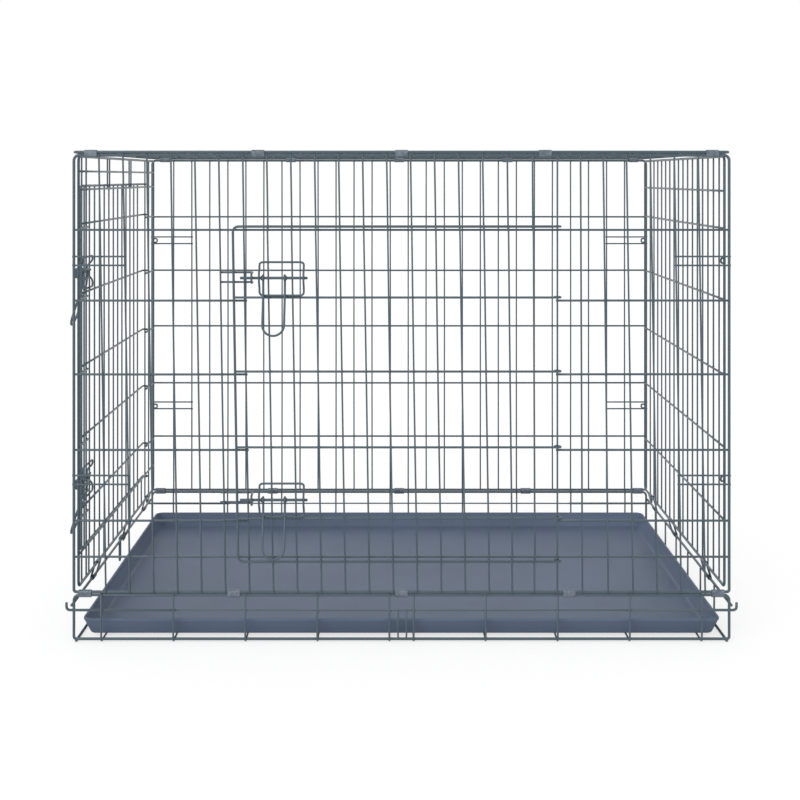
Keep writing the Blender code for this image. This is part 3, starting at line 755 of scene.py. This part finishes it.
@dataclass
class LongPanel:
    """The front or the back: a frame, upright wires and a few level ones."""

    side: Side
    has_doorway: bool

    def build(self) -> None:
        """Makes the panel."""
        name = f"{self.side.name.lower()}_panel"
        drawing = Weldment(self.side, lean=FRONT_LEAN if self.has_doorway else 0.0)
        bars = S.bars()
        rows = S.rows()
        sill = S.bottom + S.sill
        drawing.outline(-S.half_w, S.half_w, S.bottom, S.top, S.frame_r, foot=S.foot_corner)
        self.add_corner_slots(drawing, bars)
        if not self.has_doorway:
            drawing.level(rows, -S.half_w, S.half_w)
            drawing.upright(bars, S.bottom, S.top)
            drawing.welds(bars, [S.bottom, *rows, S.top])
        else:
            left, right = FRONT_EDGES
            short = S.door_bars()
            outer = np.concatenate([bars[:S.door_first + 1], bars[S.door_last:]])
            drawing.level([sill, rows[-1]], -S.half_w, S.half_w)
            drawing.level(rows[:-1], -S.half_w, left + S.lap)
            drawing.level(rows[:-1], right - S.lap, S.half_w)
            drawing.upright(outer, S.bottom, S.top)
            drawing.upright(short, S.bottom, sill)
            drawing.upright(short, rows[-1], S.top)
            drawing.welds(outer, [S.bottom, sill, *rows, S.top])
            drawing.welds(short, [S.bottom, sill, rows[-1], S.top])
            for height in LATCH_HEIGHTS.values():
                Keeper(left, bars[S.door_first - 1], height).add_to(drawing)
        hand_over(drawing.make(f"{name}_wires", ENAMEL), "root", name)

    def add_corner_slots(self, drawing: Weldment, bars: Points) -> None:
        """Adds the pairs of short level wires in which the end panels' hooks catch.

        Args:
            drawing: The panel's drawing.
            bars: The places of its upright wires.
        """
        radius = S.bar_r
        w = S.bar_out - S.bar_r - radius + S.weld
        for post, bar in ((-S.half_w, bars[1]), (S.half_w, bars[-2])):
            proud = math.copysign(S.slot_proud, post)
            for height in SLOT_HEIGHTS:
                pair = np.array([height - S.slot_spread / 2, height + S.slot_spread / 2])
                drawing.level(pair, post + proud, drawing.strayed(bar, height) - proud, radius, w)


@dataclass
class Roof:
    """The roof: front-to-back wires over three long ones."""

    long_count: int = 3

    def build(self) -> None:
        """Makes the roof, whose front-to-back wires are pressed almost flush into the others."""
        drawing = Weldment(Side.TOP)
        bars = S.bars()
        rows = np.linspace(-S.half_d, S.half_d, self.long_count + 2)
        drawing.outline(-S.half_w, S.half_w, -S.half_d, S.half_d, S.frame_r)
        drawing.level(rows[1:-1], -S.half_w, S.half_w)
        drawing.upright(bars, -S.half_d, S.half_d, S.sunk_out, lap=0.0)
        hand_over(drawing.make("top_panel_wires", ENAMEL), "root", "top_panel")


@dataclass
class EndPanel:
    """An end of the crate, plain on the right and with a doorway on the left."""

    side: Side
    has_doorway: bool
    hook_spread: float = 7.0
    hook_turn: float = 6.5
    hook_bend: float = 3.4
    rise: float = 5.5
    lintel_bars: tuple[float, ...] = (-95.0, -79.0, 79.0, 95.0)

    @property
    def top(self) -> float:
        """The height of the top wire, which lies just under the roof as in the photograph."""
        return S.end_top + self.rise

    def build(self) -> None:
        """Makes the panel."""
        word = self.side.name.lower()
        drawing = Weldment(self.side)
        rows = S.end_rows()
        drawing.outline(-S.end_half, S.end_half, S.end_bottom, self.top, S.end_frame_r)
        self.add_hooks(drawing)
        if self.has_doorway:
            self.add_doorway(drawing, rows)
        else:
            drawing.level(rows, -S.end_half, S.end_half)
            drawing.upright(S.end_bars(), S.end_bottom, self.top)
            drawing.welds(S.end_bars(), [S.end_bottom, *rows, self.top])
        made = drawing.make(f"{word}_end_panel_wires", ENAMEL)
        hand_over(made, f"{word}_end", f"{word}_end_panel")

    def add_hooks(self, drawing: Weldment) -> None:
        """Adds the four loops that catch in the corner slots, their ends turned into the crate.

        Args:
            drawing: The panel's drawing.
        """
        curl_in = S.door_out - 2 * S.bar_out + S.row_r
        reach = S.half_d - curl_in - S.gap - S.hook_r
        half = self.hook_spread / 2
        root = S.end_half - S.set_back
        turned = S.set_back - self.hook_turn
        for side in (-1, 1):
            for v in SLOT_HEIGHTS:
                path = [(side * root, S.set_back, v - half), (side * reach, turned, v - half),
                        (side * reach, turned, v + half), (side * root, S.set_back, v + half)]
                drawing.wire(soften(np.array(path), self.hook_bend), S.hook_r)

    def add_doorway(self, drawing: Weldment, rows: Points) -> None:
        """Adds the wires round the doorway and the few above it.

        Args:
            drawing: The panel's drawing.
            rows: The heights of its inner level wires.
        """
        latch, hinge = END_EDGES
        sill = S.bottom + S.sill
        outer = np.array([(latch - S.end_half) / 2, latch, hinge, (hinge + S.end_half) / 2])
        low = end_door_bars()
        full = [sill, END_LINTEL, END_SPARE_ROW]
        drawing.level(full, -S.end_half, S.end_half)
        drawing.level(rows[:-1], -S.end_half, latch + S.lap)
        drawing.level(rows[:-1], hinge - S.lap, S.end_half)
        drawing.upright(outer, S.end_bottom, self.top)
        drawing.upright(low, S.end_bottom, sill)
        drawing.upright(self.lintel_bars, END_LINTEL, self.top)
        drawing.welds(outer, [S.end_bottom, *full, *rows[:-1], self.top])
        drawing.welds(low, [S.end_bottom, sill])
        drawing.welds(self.lintel_bars, [END_LINTEL, END_SPARE_ROW, self.top])
        for height in LATCH_HEIGHTS.values():
            Keeper(latch, outer[0], height).add_to(drawing)


@dataclass
class Latch:
    """A sliding bolt with its U-shaped handle, and the guide that holds both on a door."""

    side: Side
    level: str
    free: float
    guide_inset: float = 69.5
    guide_drop: float = 1.5
    guide_height: float = 47.0
    guide_width: float = 62.5
    guide_bend: float = 6.0
    arch_foot: float = 14.0
    arch_head: float = 7.0
    bolt_inset: float = 11.0
    bolt_length: float = 95.5
    taper: float = 0.8
    taper_size: float = 0.6
    collar_size: float = 1.6
    collar_width: float = 1.0
    collar_step: float = 0.1
    handle_offset: float = 10.5
    handle_width: float = 30.5
    handle_length: float = 79.5
    handle_bend: float = 8.0
    kick: float = 18.0

    @property
    def height(self) -> float:
        """The height of the bolt."""
        return LATCH_HEIGHTS[self.level]

    @property
    def guide_middle(self) -> float:
        """The place of the guide's middle."""
        return self.free + self.guide_inset

    @property
    def handle_middle(self) -> float:
        """The place of the handle's middle."""
        return self.guide_middle - self.handle_offset

    def add_guide(self, drawing: Weldment) -> None:
        """Adds the door's rounded loop, whose sides arch out over the bolt.

        Args:
            drawing: The door's drawing.
        """
        left = self.guide_middle - self.guide_width / 2
        right = self.guide_middle + self.guide_width / 2
        high = self.guide_height / 2 - self.guide_drop
        low = -self.guide_height / 2 - self.guide_drop
        arch = [(high, 0), (self.arch_foot, 0), (self.arch_head, 1),
                (-self.arch_head, 1), (-self.arch_foot, 0), (low, 0)]
        rise = S.arch_out - S.guide_out
        down = [(left, S.guide_out + out * rise, self.height + v) for v, out in arch]
        up = [(right, S.guide_out + out * rise, self.height + v) for v, out in arch[::-1]]
        path = soften(np.array(down + up), self.guide_bend, closed=True)
        slant = unit(np.array([0.25, 1.0, 0.0]))
        drawing.wire(path[::-1], S.guide_r, slant, closed=True)

    def build_bolt(self) -> None:
        """Makes the rod with a collar on each side of the handle: its radius goes by steps."""
        name = f"{self.side.name.lower()}_{self.level}_latch_bolt"
        drawing = Weldment(self.side)
        tip = self.free + self.bolt_inset
        end = tip + self.bolt_length
        clear = self.handle_width / 2 + S.handle_r + S.gap
        left = self.handle_middle - clear
        right = self.handle_middle + clear
        collar = [(0.0, 1.0), (self.collar_step, self.collar_size),
                  (self.collar_step + self.collar_width, self.collar_size),
                  (2 * self.collar_step + self.collar_width, 1.0)]
        steps = [(tip, self.taper_size), (tip + self.taper, 1.0),
                 *((left - away, size) for away, size in collar[::-1]),
                 *((right + away, size) for away, size in collar),
                 (end - self.taper, 1.0), (end, self.taper_size)]
        along, size = np.array(steps).T
        level = np.full_like(along, self.height)
        path = np.stack([along, np.full_like(along, S.bolt_out), level], axis=1)
        drawing.add(tubes(path, size * S.bolt_r, W, 16))
        body = name.replace("_latch", "")
        hand_over(drawing.make(f"{name}_rod", ENAMEL, FITTING_EDGE), body, name)

    def build_handle(self) -> None:
        """Makes the pull: two eyes round the bolt, two legs that kick outwards and a round end."""
        name = f"{self.side.name.lower()}_{self.level}_latch_handle"
        drawing = Weldment(self.side)
        half = self.handle_width / 2
        angle = math.radians(self.kick)
        drop = self.guide_drop + self.guide_height / 2
        out = S.guide_out + S.guide_r + S.gap + S.handle_r - S.bolt_out + S.weld
        slope = np.array([0.0, math.sin(angle), -math.cos(angle)])
        run = (self.handle_length - drop) / math.cos(angle) - half
        legs = []
        for u in (self.handle_middle - half, self.handle_middle + half):
            centre = np.array([u, S.bolt_out, self.height])
            eye = arc(centre, S.eye_r, *EYE_ARC, W, V)
            knee = centre + np.array([0.0, out, -drop])
            bend = soften(np.array([eye[-1], knee, knee + slope * run]), self.handle_bend)
            legs.append(np.concatenate([eye, bend[1:]]))
        bottom = (legs[0][-1] + legs[1][-1]) / 2
        bow = arc(bottom, half, 180, 0, 14, U, slope)
        path = np.concatenate([legs[0], bow[1:-1], legs[1][::-1]])
        drawing.wire(path, S.handle_r, unit(U + 0.3 * W), sides=14)
        body = name.replace("_latch", "")
        hand_over(drawing.make(f"{name}_wire", ENAMEL), body, name)


@dataclass
class Door:
    """A door of its own wires, outside its panel, curled round the panel's hinge wire."""

    side: Side
    edges: tuple[float, float]
    bars: Points
    rows: Points
    top: float
    lean: float = 0.0
    frame_r: float = 1.8
    bend: float = 9.0
    curl_turn: float = 240.0

    def build(self) -> None:
        """Makes the door and its two latches."""
        hinge = self.edges[1]
        free = self.free_edge(self.top)
        bottom = S.bottom + S.sill - S.door_lift
        stop = hinge - 4 * S.row_r
        drawing = Weldment(self.side, lean=self.lean)
        corners = [(stop, self.top), (free, self.top),
                   (self.free_edge(bottom), bottom), (stop, bottom)]
        path = np.array([(u, S.door_out, v) for u, v in corners])
        drawing.wire(soften(path, self.bend, 7), self.frame_r)
        for v in (self.top, bottom):
            drawing.wire(self.curled(stop - 2 * S.row_r, hinge, v), S.row_r, V)
        for v in self.rows:
            drawing.wire(self.curled(self.free_edge(v) + S.set_back, hinge, v), S.row_r, V)
        drawing.upright(self.bars, bottom, self.top, S.door_bar_out)
        weld_out = S.door_bar_out - S.bar_r + S.weld / 2
        drawing.welds(self.bars, [bottom, *self.rows, self.top], weld_out)
        word = self.side.name.lower()
        latches = [Latch(self.side, level, free) for level in LATCH_HEIGHTS]
        for fitting in latches:
            fitting.add_guide(drawing)
        hand_over(drawing.make(f"{word}_door_wires", ENAMEL), f"{word}_door", f"{word}_door")
        for fitting in latches:
            fitting.build_bolt()
            fitting.build_handle()

    def free_edge(self, v: float) -> float:
        """Where the wire of the free edge is at a height: it leans from its top as the bars do."""
        return self.edges[0] - S.door_lap + self.lean * (self.top - v)

    def curled(self, start: float, hinge: float, v: float) -> Points:
        """The path of a level wire whose end curls round the hinge wire.

        Args:
            start: Where the wire starts.
            hinge: The place of the hinge wire.
            v: The wire's height.

        Returns:
            The points of its straight run and its curl.
        """
        centre = np.array([hinge, S.bar_out, v])
        curl = arc(centre, S.door_out - S.bar_out, 90, 90 - self.curl_turn, 16, U, W)
        along = np.linspace(start, hinge - 1, 4)
        level = np.stack([along, np.full(4, S.door_out), np.full(4, v)], axis=1)
        return np.concatenate([level, curl])


@dataclass
class Base:
    """The floor mat with its bent-up walls."""

    bar_r: float = 1.4
    frame_r: float = 2.0
    mid_r: float = 1.2
    mid_height: float = 45.0
    bend: float = 6.0
    cross_count: int = 5
    cross_pitch: float = 34.4
    cross_inset: float = 39.3
    long_count: int = 6
    loop_place: float = 1.0
    loop_width: float = 12.0
    loop_bend: float = 4.5
    corner_rod: float = 145.0
    rod_r: float = 1.9
    hook_reach: float = 10.5
    hook_tip: float = 56.0

    def build(self) -> None:
        """Makes the base."""
        drawing = Weldment(Side.CRATE)
        self.add_cross_wires(drawing)
        self.add_long_wires(drawing)
        for side in (-1, 1):
            self.add_wall(drawing, side)
            self.add_corner_rods(drawing, side)
            self.add_end_wires(drawing, side)
        self.add_centre_loop(drawing)
        hand_over(drawing.make("base_frame_wires", ENAMEL), "root", "base_frame")

    def add_cross_wires(self, drawing: Weldment) -> None:
        """Adds the wires that run under the tray from front to back and up both walls.

        Args:
            drawing: The base's drawing.
        """
        reach = S.half_d + self.frame_r + self.bar_r - S.weld
        top = S.wall_top + S.lap
        corners = [(-reach, top), (-reach, self.bar_r), (reach, self.bar_r), (reach, top)]
        places = np.linspace(self.cross_pitch / 2, S.half_w - self.cross_inset, self.cross_count)
        for u in np.concatenate([-places, places]):
            path = np.array([(u, w, v) for w, v in corners])
            drawing.wire(soften(path, self.bend), self.bar_r, U, sides=10)

    def add_long_wires(self, drawing: Weldment) -> None:
        """Adds the wires that run the length of the floor and up the right end.

        Args:
            drawing: The base's drawing.
        """
        height = 3 * self.bar_r - S.weld
        start = -S.half_w + S.foot_corner - self.frame_r
        rise = S.end_wall - self.frame_r - self.bar_r + S.weld
        corners = [(start, height), (rise, height), (rise, S.end_wall_top + S.lap)]
        for w in np.linspace(-S.half_d, S.half_d, self.long_count + 2)[1:-1]:
            path = np.array([(u, w, v) for u, v in corners])
            drawing.wire(soften(path, self.bend), self.bar_r, W, sides=10)

    def add_wall(self, drawing: Weldment, side: int) -> None:
        """Adds a long wall's frame and its thin middle wire.

        Args:
            drawing: The base's drawing.
            side: -1 for the front, 1 for the back.
        """
        w = side * S.half_d
        low = 2 * self.bar_r + self.frame_r - S.weld
        drawing.outline(-S.half_w, S.half_w, low, S.wall_top, self.frame_r, w, S.foot_corner)
        end = S.half_w - self.corner_rod + S.lap
        drawing.level(self.mid_height, -end, end, self.mid_r, w)

    def add_corner_rods(self, drawing: Weldment, side: int) -> None:
        """Adds the thicker rods at a wall's ends with their upturned hooks.

        Args:
            drawing: The base's drawing.
            side: -1 for the front, 1 for the back.
        """
        tip = S.half_w + self.hook_reach
        corners = [(S.half_w - self.corner_rod, self.mid_height), (tip, self.mid_height),
                   (tip, self.hook_tip)]
        for end in (-1, 1):
            path = np.array([(end * u, side * S.half_d, v) for u, v in corners])
            drawing.wire(soften(path, self.bend, 6), self.rod_r)

    def add_end_wires(self, drawing: Weldment, side: int) -> None:
        """Adds an end's floor wire and the wire along the top of its low wall.

        Args:
            drawing: The base's drawing.
            side: -1 for the left, 1 for the right.
        """
        reach = S.half_d + self.frame_r - S.weld
        floor_u = side * (S.half_w - S.foot_corner)
        wall_u = side * S.end_wall
        for u, v in ((floor_u, self.frame_r), (wall_u, S.end_wall_top)):
            along = np.linspace(-reach, reach, 4)
            path = np.stack([np.full(4, u), along, np.full(4, v)], axis=1)
            drawing.wire(path, self.frame_r, V)

    def add_centre_loop(self, drawing: Weldment) -> None:
        """Adds the narrow loop in the middle of the front wall.

        Args:
            drawing: The base's drawing.
        """
        left = self.loop_place - self.loop_width / 2
        right = self.loop_place + self.loop_width / 2
        low = 2 * self.bar_r + self.frame_r
        w = -S.half_d - self.mid_r
        top = self.mid_height + S.lap
        path = np.array([(left, w, top), (left, w, low), (right, w, low), (right, w, top)])
        drawing.wire(soften(path, self.loop_bend, 6), self.mid_r)


@dataclass
class Tray:
    """The removable pan: a flat floor, sloped walls, a rolled rim and fluted corners."""

    length: float = 910.0
    depth: float = 604.0
    floor: float = 5.4
    height: float = 25.0
    thickness: float = 2.0
    foot_inset: float = 11.0
    inner_inset: float = 13.5
    rim_width: float = 3.6
    rim_depth: float = 4.0
    rim_step: float = 0.5
    tuck: float = 1.2
    lip_depth: float = 3.0
    lip_slope: float = 0.6
    bend: float = 3.4
    corner: float = 13.0
    least_corner: float = 5.0
    flutes: int = 4
    flute_depth: float = 0.9
    edge_angle: float = 40.0

    def build(self) -> None:
        """Makes the tray as rings: each is the rim's outline drawn in by the profile's inset."""
        drawing = Weldment(Side.CRATE)
        rings = np.stack([self.ring(inset, height) for inset, height in self.profile()])
        drawing.add(loft(rings[None], False))
        hand_over(drawing.make("tray_pan", PLASTIC, self.edge_angle), "tray", "tray")

    def profile(self) -> Points:
        """The wall's section, from under the floor up, round the rim and down to the floor's top.

        Returns:
            Pairs of an inset from the rim and a height.
        """
        top = self.floor + self.height
        inside = self.floor + self.thickness
        corners = [(2 * self.foot_inset, self.floor), (self.foot_inset, self.floor),
                   (self.tuck, top - self.rim_depth - self.rim_step), (0, top - self.rim_depth),
                   (0, top), (self.rim_width, top),
                   (self.rim_width + self.lip_slope, top - self.lip_depth),
                   (self.inner_inset, inside), (2 * self.foot_inset + self.thickness, inside)]
        rounded = soften(np.array([(inset, 0, height) for inset, height in corners]), self.bend)
        return rounded[:, [0, 2]]

    def ring(self, inset: float, height: float) -> Points:
        """The rim's outline drawn in by inset: four quarter circles, sharper the further in.

        The walls' corners have flutes: their radius shrinks by depth sin^2(2 flutes a), where a
        is the angle round the corner, and this fades to none at the rim and the floor.

        Args:
            inset: How far the ring lies inside the rim's outline.
            height: Its height.

        Returns:
            Its points, which turn left.
        """
        steps = 8 * self.flutes
        quarter = np.linspace(0, 90, steps + 1)
        angle = np.radians(np.arange(4)[:, None] * 90 + quarter[None]).reshape(-1)
        normal = np.stack([np.cos(angle), np.sin(angle)], axis=1)
        signs = np.repeat(np.array([(1, 1), (-1, 1), (-1, -1), (1, -1)]), steps + 1, axis=0)
        share = np.clip((height - self.floor) / self.height, 0, 1)
        fade = np.sin(math.pi * share)
        radius = max(self.corner - inset, self.least_corner)
        drawn_in = inset + radius
        centres = signs * np.array([self.length / 2 - drawn_in, self.depth / 2 - drawn_in])
        flute = self.flute_depth * fade * np.sin(2 * self.flutes * angle) ** 2
        flat = centres + (radius - flute)[:, None] * normal
        return np.column_stack([flat, np.full(len(flat), height)])


@dataclass
class TrayStop:
    """The wire loop that hangs from the left wall's top wire in front of the tray."""

    place: float = 44.0
    width: float = 10.0
    length: float = 38.0
    radius: float = 1.4

    def build(self) -> None:
        """Makes the stop: two eyes, two legs and a round end."""
        drawing = Weldment(Side.CRATE)
        eye_r = S.end_frame_r + S.gap + self.radius
        legs = []
        for w in (self.place - self.width / 2, self.place + self.width / 2):
            centre = np.array([-S.end_wall, w, S.end_wall_top])
            eye = arc(centre, eye_r, *EYE_ARC, U, V)
            foot = centre + np.array([-eye_r, 0.0, -self.length + self.width / 2])
            legs.append(np.concatenate([eye, foot[None]]))
        bottom = (legs[0][-1] + legs[1][-1]) / 2
        bow = arc(bottom, self.width / 2, 180, 360, 10, W, V)
        path = np.concatenate([legs[0], bow[1:-1], legs[1][::-1]])
        drawing.wire(path, self.radius, unit(W + 0.3 * U))
        hand_over(drawing.make("tray_stop_wire", ENAMEL), "tray_stop", "tray_stop")


@dataclass
class Clips:
    """The strips of sheet bent round two wires on which the crate folds."""

    width: float = 18.0
    wall: float = 0.8
    chamfer: float = 0.25
    room: float = 0.3
    link_room: float = 0.6
    bottom_gaps: tuple[float, ...] = (5.5, 12.5, 19.5)
    bottom_inset: float = 16.0
    top_gaps: tuple[float, ...] = (6.5, 12.5, 18.5)
    top_inset: float = 24.0
    link_places: tuple[float, ...] = (-173.0, 69.2, 242.2)

    def strip(self, along: Points, first: Points, second: Points, inner: float) -> Surface:
        """A bent strip: a stadium round both wires, swept by a rounded rectangle of sheet.

        A point is centre + outward * (inner + depth) + along * side, where centre is the wire
        that the strip is bent round and outward turns half round it, then half round the other.

        Args:
            along: The wires' direction.
            first: The middle of one wire.
            second: The middle of the other.
            inner: How far the sheet lies from the wires' middles.

        Returns:
            The strip.
        """
        axis = unit(second - first)
        across = np.cross(along, axis)
        steps = 10
        half = np.linspace(0, math.pi, steps + 1)
        angle = np.concatenate([half, half + math.pi])
        outward = np.cos(angle)[:, None] * across + np.sin(angle)[:, None] * axis
        centre = np.repeat(np.stack([second, first]), steps + 1, axis=0)
        end = self.width / 2
        side_end = end - self.chamfer
        skin = self.wall - self.chamfer
        section = np.array([(0, -side_end), (0, side_end), (self.chamfer, end), (skin, end),
                            (self.wall, side_end), (self.wall, -side_end), (skin, -end),
                            (self.chamfer, -end)])
        depth = (inner + section[:, 0])[None, :, None]
        side = section[:, 1][None, :, None]
        rings = centre[:, None] + outward[:, None] * depth + along * side
        return loft(rings[None], True)

    def places(self, gaps: tuple[float, ...], inset: float) -> list[float]:
        """Where a line of clips sits: mid-way between upright wires, and near both corners.

        Args:
            gaps: The inner clips' places, counted in upright wires from the first one.
            inset: How far the outer clips lie from the panel's ends.

        Returns:
            The places from left to right.
        """
        bars = S.bars()
        pitch = bars[1] - bars[0]
        return [-S.half_w + inset, *(bars[0] + pitch * gap for gap in gaps), S.half_w - inset]

    def build(self) -> None:
        """Makes every clip."""
        lines = (
            ("bottom", S.wall_top, S.bottom, self.bottom_gaps, self.bottom_inset),
            ("top", S.top, S.roof, self.top_gaps, self.top_inset),
        )
        for word, low, high, gaps, inset in lines:
            for side, w in (("front", -S.half_d), ("back", S.half_d)):
                for i, u in enumerate(self.places(gaps, inset)):
                    node = f"{side}_{word}_clip_{i + 1}"
                    first = np.array([u, w, low])
                    second = np.array([u, w, high])
                    self.make(node, "root", U, first, second, S.frame_r + self.room)
        for side, sign in (("left", -1), ("right", 1)):
            for i, w in enumerate(self.link_places):
                first = np.array([sign * S.end_wall, w, S.end_wall_top])
                second = np.array([sign * S.end_plane, w, S.end_bottom])
                node = f"{side}_link_clip_{i + 1}"
                self.make(node, f"{side}_end", W, first, second, S.end_frame_r + self.link_room)

    def make(self, node: str, body: str, along: Points, first: Points, second: Points,
             inner: float) -> None:
        """Makes one clip.

        Args:
            node: The CAD node that it stands for.
            body: The body that it rides on.
            along: The wires' direction.
            first: The middle of one wire.
            second: The middle of the other.
            inner: How far the sheet lies from the wires' middles.
        """
        drawing = Weldment(Side.CRATE)
        drawing.add(self.strip(along, first, second, inner))
        hand_over(drawing.make(f"{node}_strip", ZINC, FITTING_EDGE), body, node)


@dataclass(frozen=True)
class Lamp:
    """A broad, even lamp: its strength, and its spread and turn in degrees."""

    name: str
    strength: float
    spread: float
    turn: tuple[float, float, float]


@dataclass
class Studio:
    """The pale floor, the soft light and the camera of the photograph."""

    camera_x: float = -13.5
    camera_z: float = 659.0
    camera_gap: float = 1897.0
    focal_px: float = 1338.0
    middle_px: float = 392.0
    horizon_px: float = 177.0
    sensor: float = 36.0
    floor_reach: float = 30000.0
    floor_grey: float = 0.8
    seen_grey: float = 0.45
    seen_glow: float = 0.68
    world_light: float = 0.55
    lamps: tuple[Lamp, ...] = (
        Lamp("key_lamp", 1.3, 50, (69, 0, -30)),
        Lamp("back_lamp", 0.3, 70, (-40, 0, 20)),
    )

    def build(self) -> None:
        """Makes the studio."""
        self.make_floor()
        self.make_world()
        self.make_lights()
        self.make_camera()

    def make_camera(self) -> None:
        """Makes a level camera, shifted so that the frame falls as in the photograph."""
        data = bpy.data.cameras.new("camera")
        data.sensor_width = self.sensor
        data.lens = self.sensor * self.focal_px / PHOTO_PIXELS
        data.shift_x = (PHOTO_PIXELS / 2 - self.middle_px) / PHOTO_PIXELS
        data.shift_y = -(PHOTO_PIXELS / 2 - self.horizon_px) / PHOTO_PIXELS
        camera = bpy.data.objects.new("camera", data)
        place = np.array([self.camera_x, -S.half_d - self.camera_gap, self.camera_z]) * MM + CENTRE
        camera.location = place
        camera.rotation_euler = (math.pi / 2, 0, 0)
        bpy.context.scene.collection.objects.link(camera)
        bpy.context.scene.camera = camera

    def make_floor(self) -> None:
        """Makes a wide floor that looks white and keeps the object's shadow."""
        reach = self.floor_reach * MM
        mesh = bpy.data.meshes.new("floor")
        corners = [(-reach, -reach, 0), (reach, -reach, 0), (reach, reach, 0), (-reach, reach, 0)]
        mesh.from_pydata(corners, [], [(0, 1, 2, 3)])
        floor = bpy.data.objects.new("floor", mesh)
        bpy.context.scene.collection.objects.link(floor)
        material = bpy.data.materials.new("white_studio_floor")
        material.use_nodes = True
        tree = material.node_tree
        tree.nodes.clear()
        plain = add_node(tree, "ShaderNodeBsdfDiffuse", {"Color": (*[self.floor_grey] * 3, 1)})
        seen = add_node(tree, "ShaderNodeBsdfDiffuse", {"Color": (*[self.seen_grey] * 3, 1)})
        glow = add_node(tree, "ShaderNodeEmission", {"Color": WHITE, "Strength": self.seen_glow})
        both = add_node(tree, "ShaderNodeAddShader", links={0: seen.outputs[0], 1: glow.outputs[0]})
        mix = add_node(tree, "ShaderNodeMixShader",
                       links={0: self.shown(tree), 1: plain.outputs[0], 2: both.outputs[0]})
        output = add_node(tree, "ShaderNodeOutputMaterial")
        tree.links.new(mix.outputs[0], output.inputs["Surface"])
        mesh.materials.append(material)

    def shown(self, tree: bpy.types.NodeTree) -> bpy.types.NodeSocket:
        """A socket that is 1 where a camera, mirror or glass ray arrives, otherwise 0.

        Args:
            tree: The material's or the world's tree.

        Returns:
            The socket.
        """
        ray = add_node(tree, "ShaderNodeLightPath").outputs
        larger = {"operation": "MAXIMUM"}
        shiny = add_node(tree, "ShaderNodeMath", settings=larger,
                         links={0: ray["Is Glossy Ray"], 1: ray["Is Transmission Ray"]})
        either = add_node(tree, "ShaderNodeMath", settings=larger,
                          links={0: ray["Is Camera Ray"], 1: shiny.outputs[0]})
        return either.outputs[0]

    def make_world(self) -> None:
        """Makes a world that is white where it is seen and lights the object softly."""
        world = bpy.data.worlds.new("white_studio")
        bpy.context.scene.world = world
        world.use_nodes = True
        tree = world.node_tree
        tree.nodes.clear()
        light = add_node(tree, "ShaderNodeBackground", {"Color": WHITE, "Strength": self.world_light})
        white = add_node(tree, "ShaderNodeBackground", {"Color": WHITE, "Strength": 1.0})
        mix = add_node(tree, "ShaderNodeMixShader",
                       links={0: self.shown(tree), 1: light.outputs[0], 2: white.outputs[0]})
        output = add_node(tree, "ShaderNodeOutputWorld")
        tree.links.new(mix.outputs[0], output.inputs["Surface"])

    def make_lights(self) -> None:
        """Makes the lamps: one from above the camera's left and one from behind."""
        for lamp in self.lamps:
            data = bpy.data.lights.new(lamp.name, "SUN")
            data.energy = lamp.strength
            data.angle = math.radians(lamp.spread)
            made = bpy.data.objects.new(lamp.name, data)
            made.rotation_euler = [math.radians(angle) for angle in lamp.turn]
            bpy.context.scene.collection.objects.link(made)


def main() -> None:
    """Builds every piece, then the studio."""
    logging.basicConfig(level=logging.INFO, format="%(name)s: %(message)s")
    rows = S.rows() + S.door_lift
    end_rows = S.end_rows()[:-1] + S.door_lift
    LongPanel(Side.FRONT, True).build()
    LongPanel(Side.BACK, False).build()
    Roof().build()
    EndPanel(Side.RIGHT, False).build()
    EndPanel(Side.LEFT, True).build()
    Door(Side.FRONT, FRONT_EDGES, S.door_bars(), rows[:-1], rows[-1], FRONT_LEAN).build()
    Door(Side.LEFT, END_EDGES, end_door_bars(), end_rows, END_LINTEL + S.door_lift).build()
    Base().build()
    Tray().build()
    TrayStop().build()
    Clips().build()
    Studio().build()
    bpy.context.scene.view_settings.view_transform = "Standard"


if __name__ == "__main__":
    main()
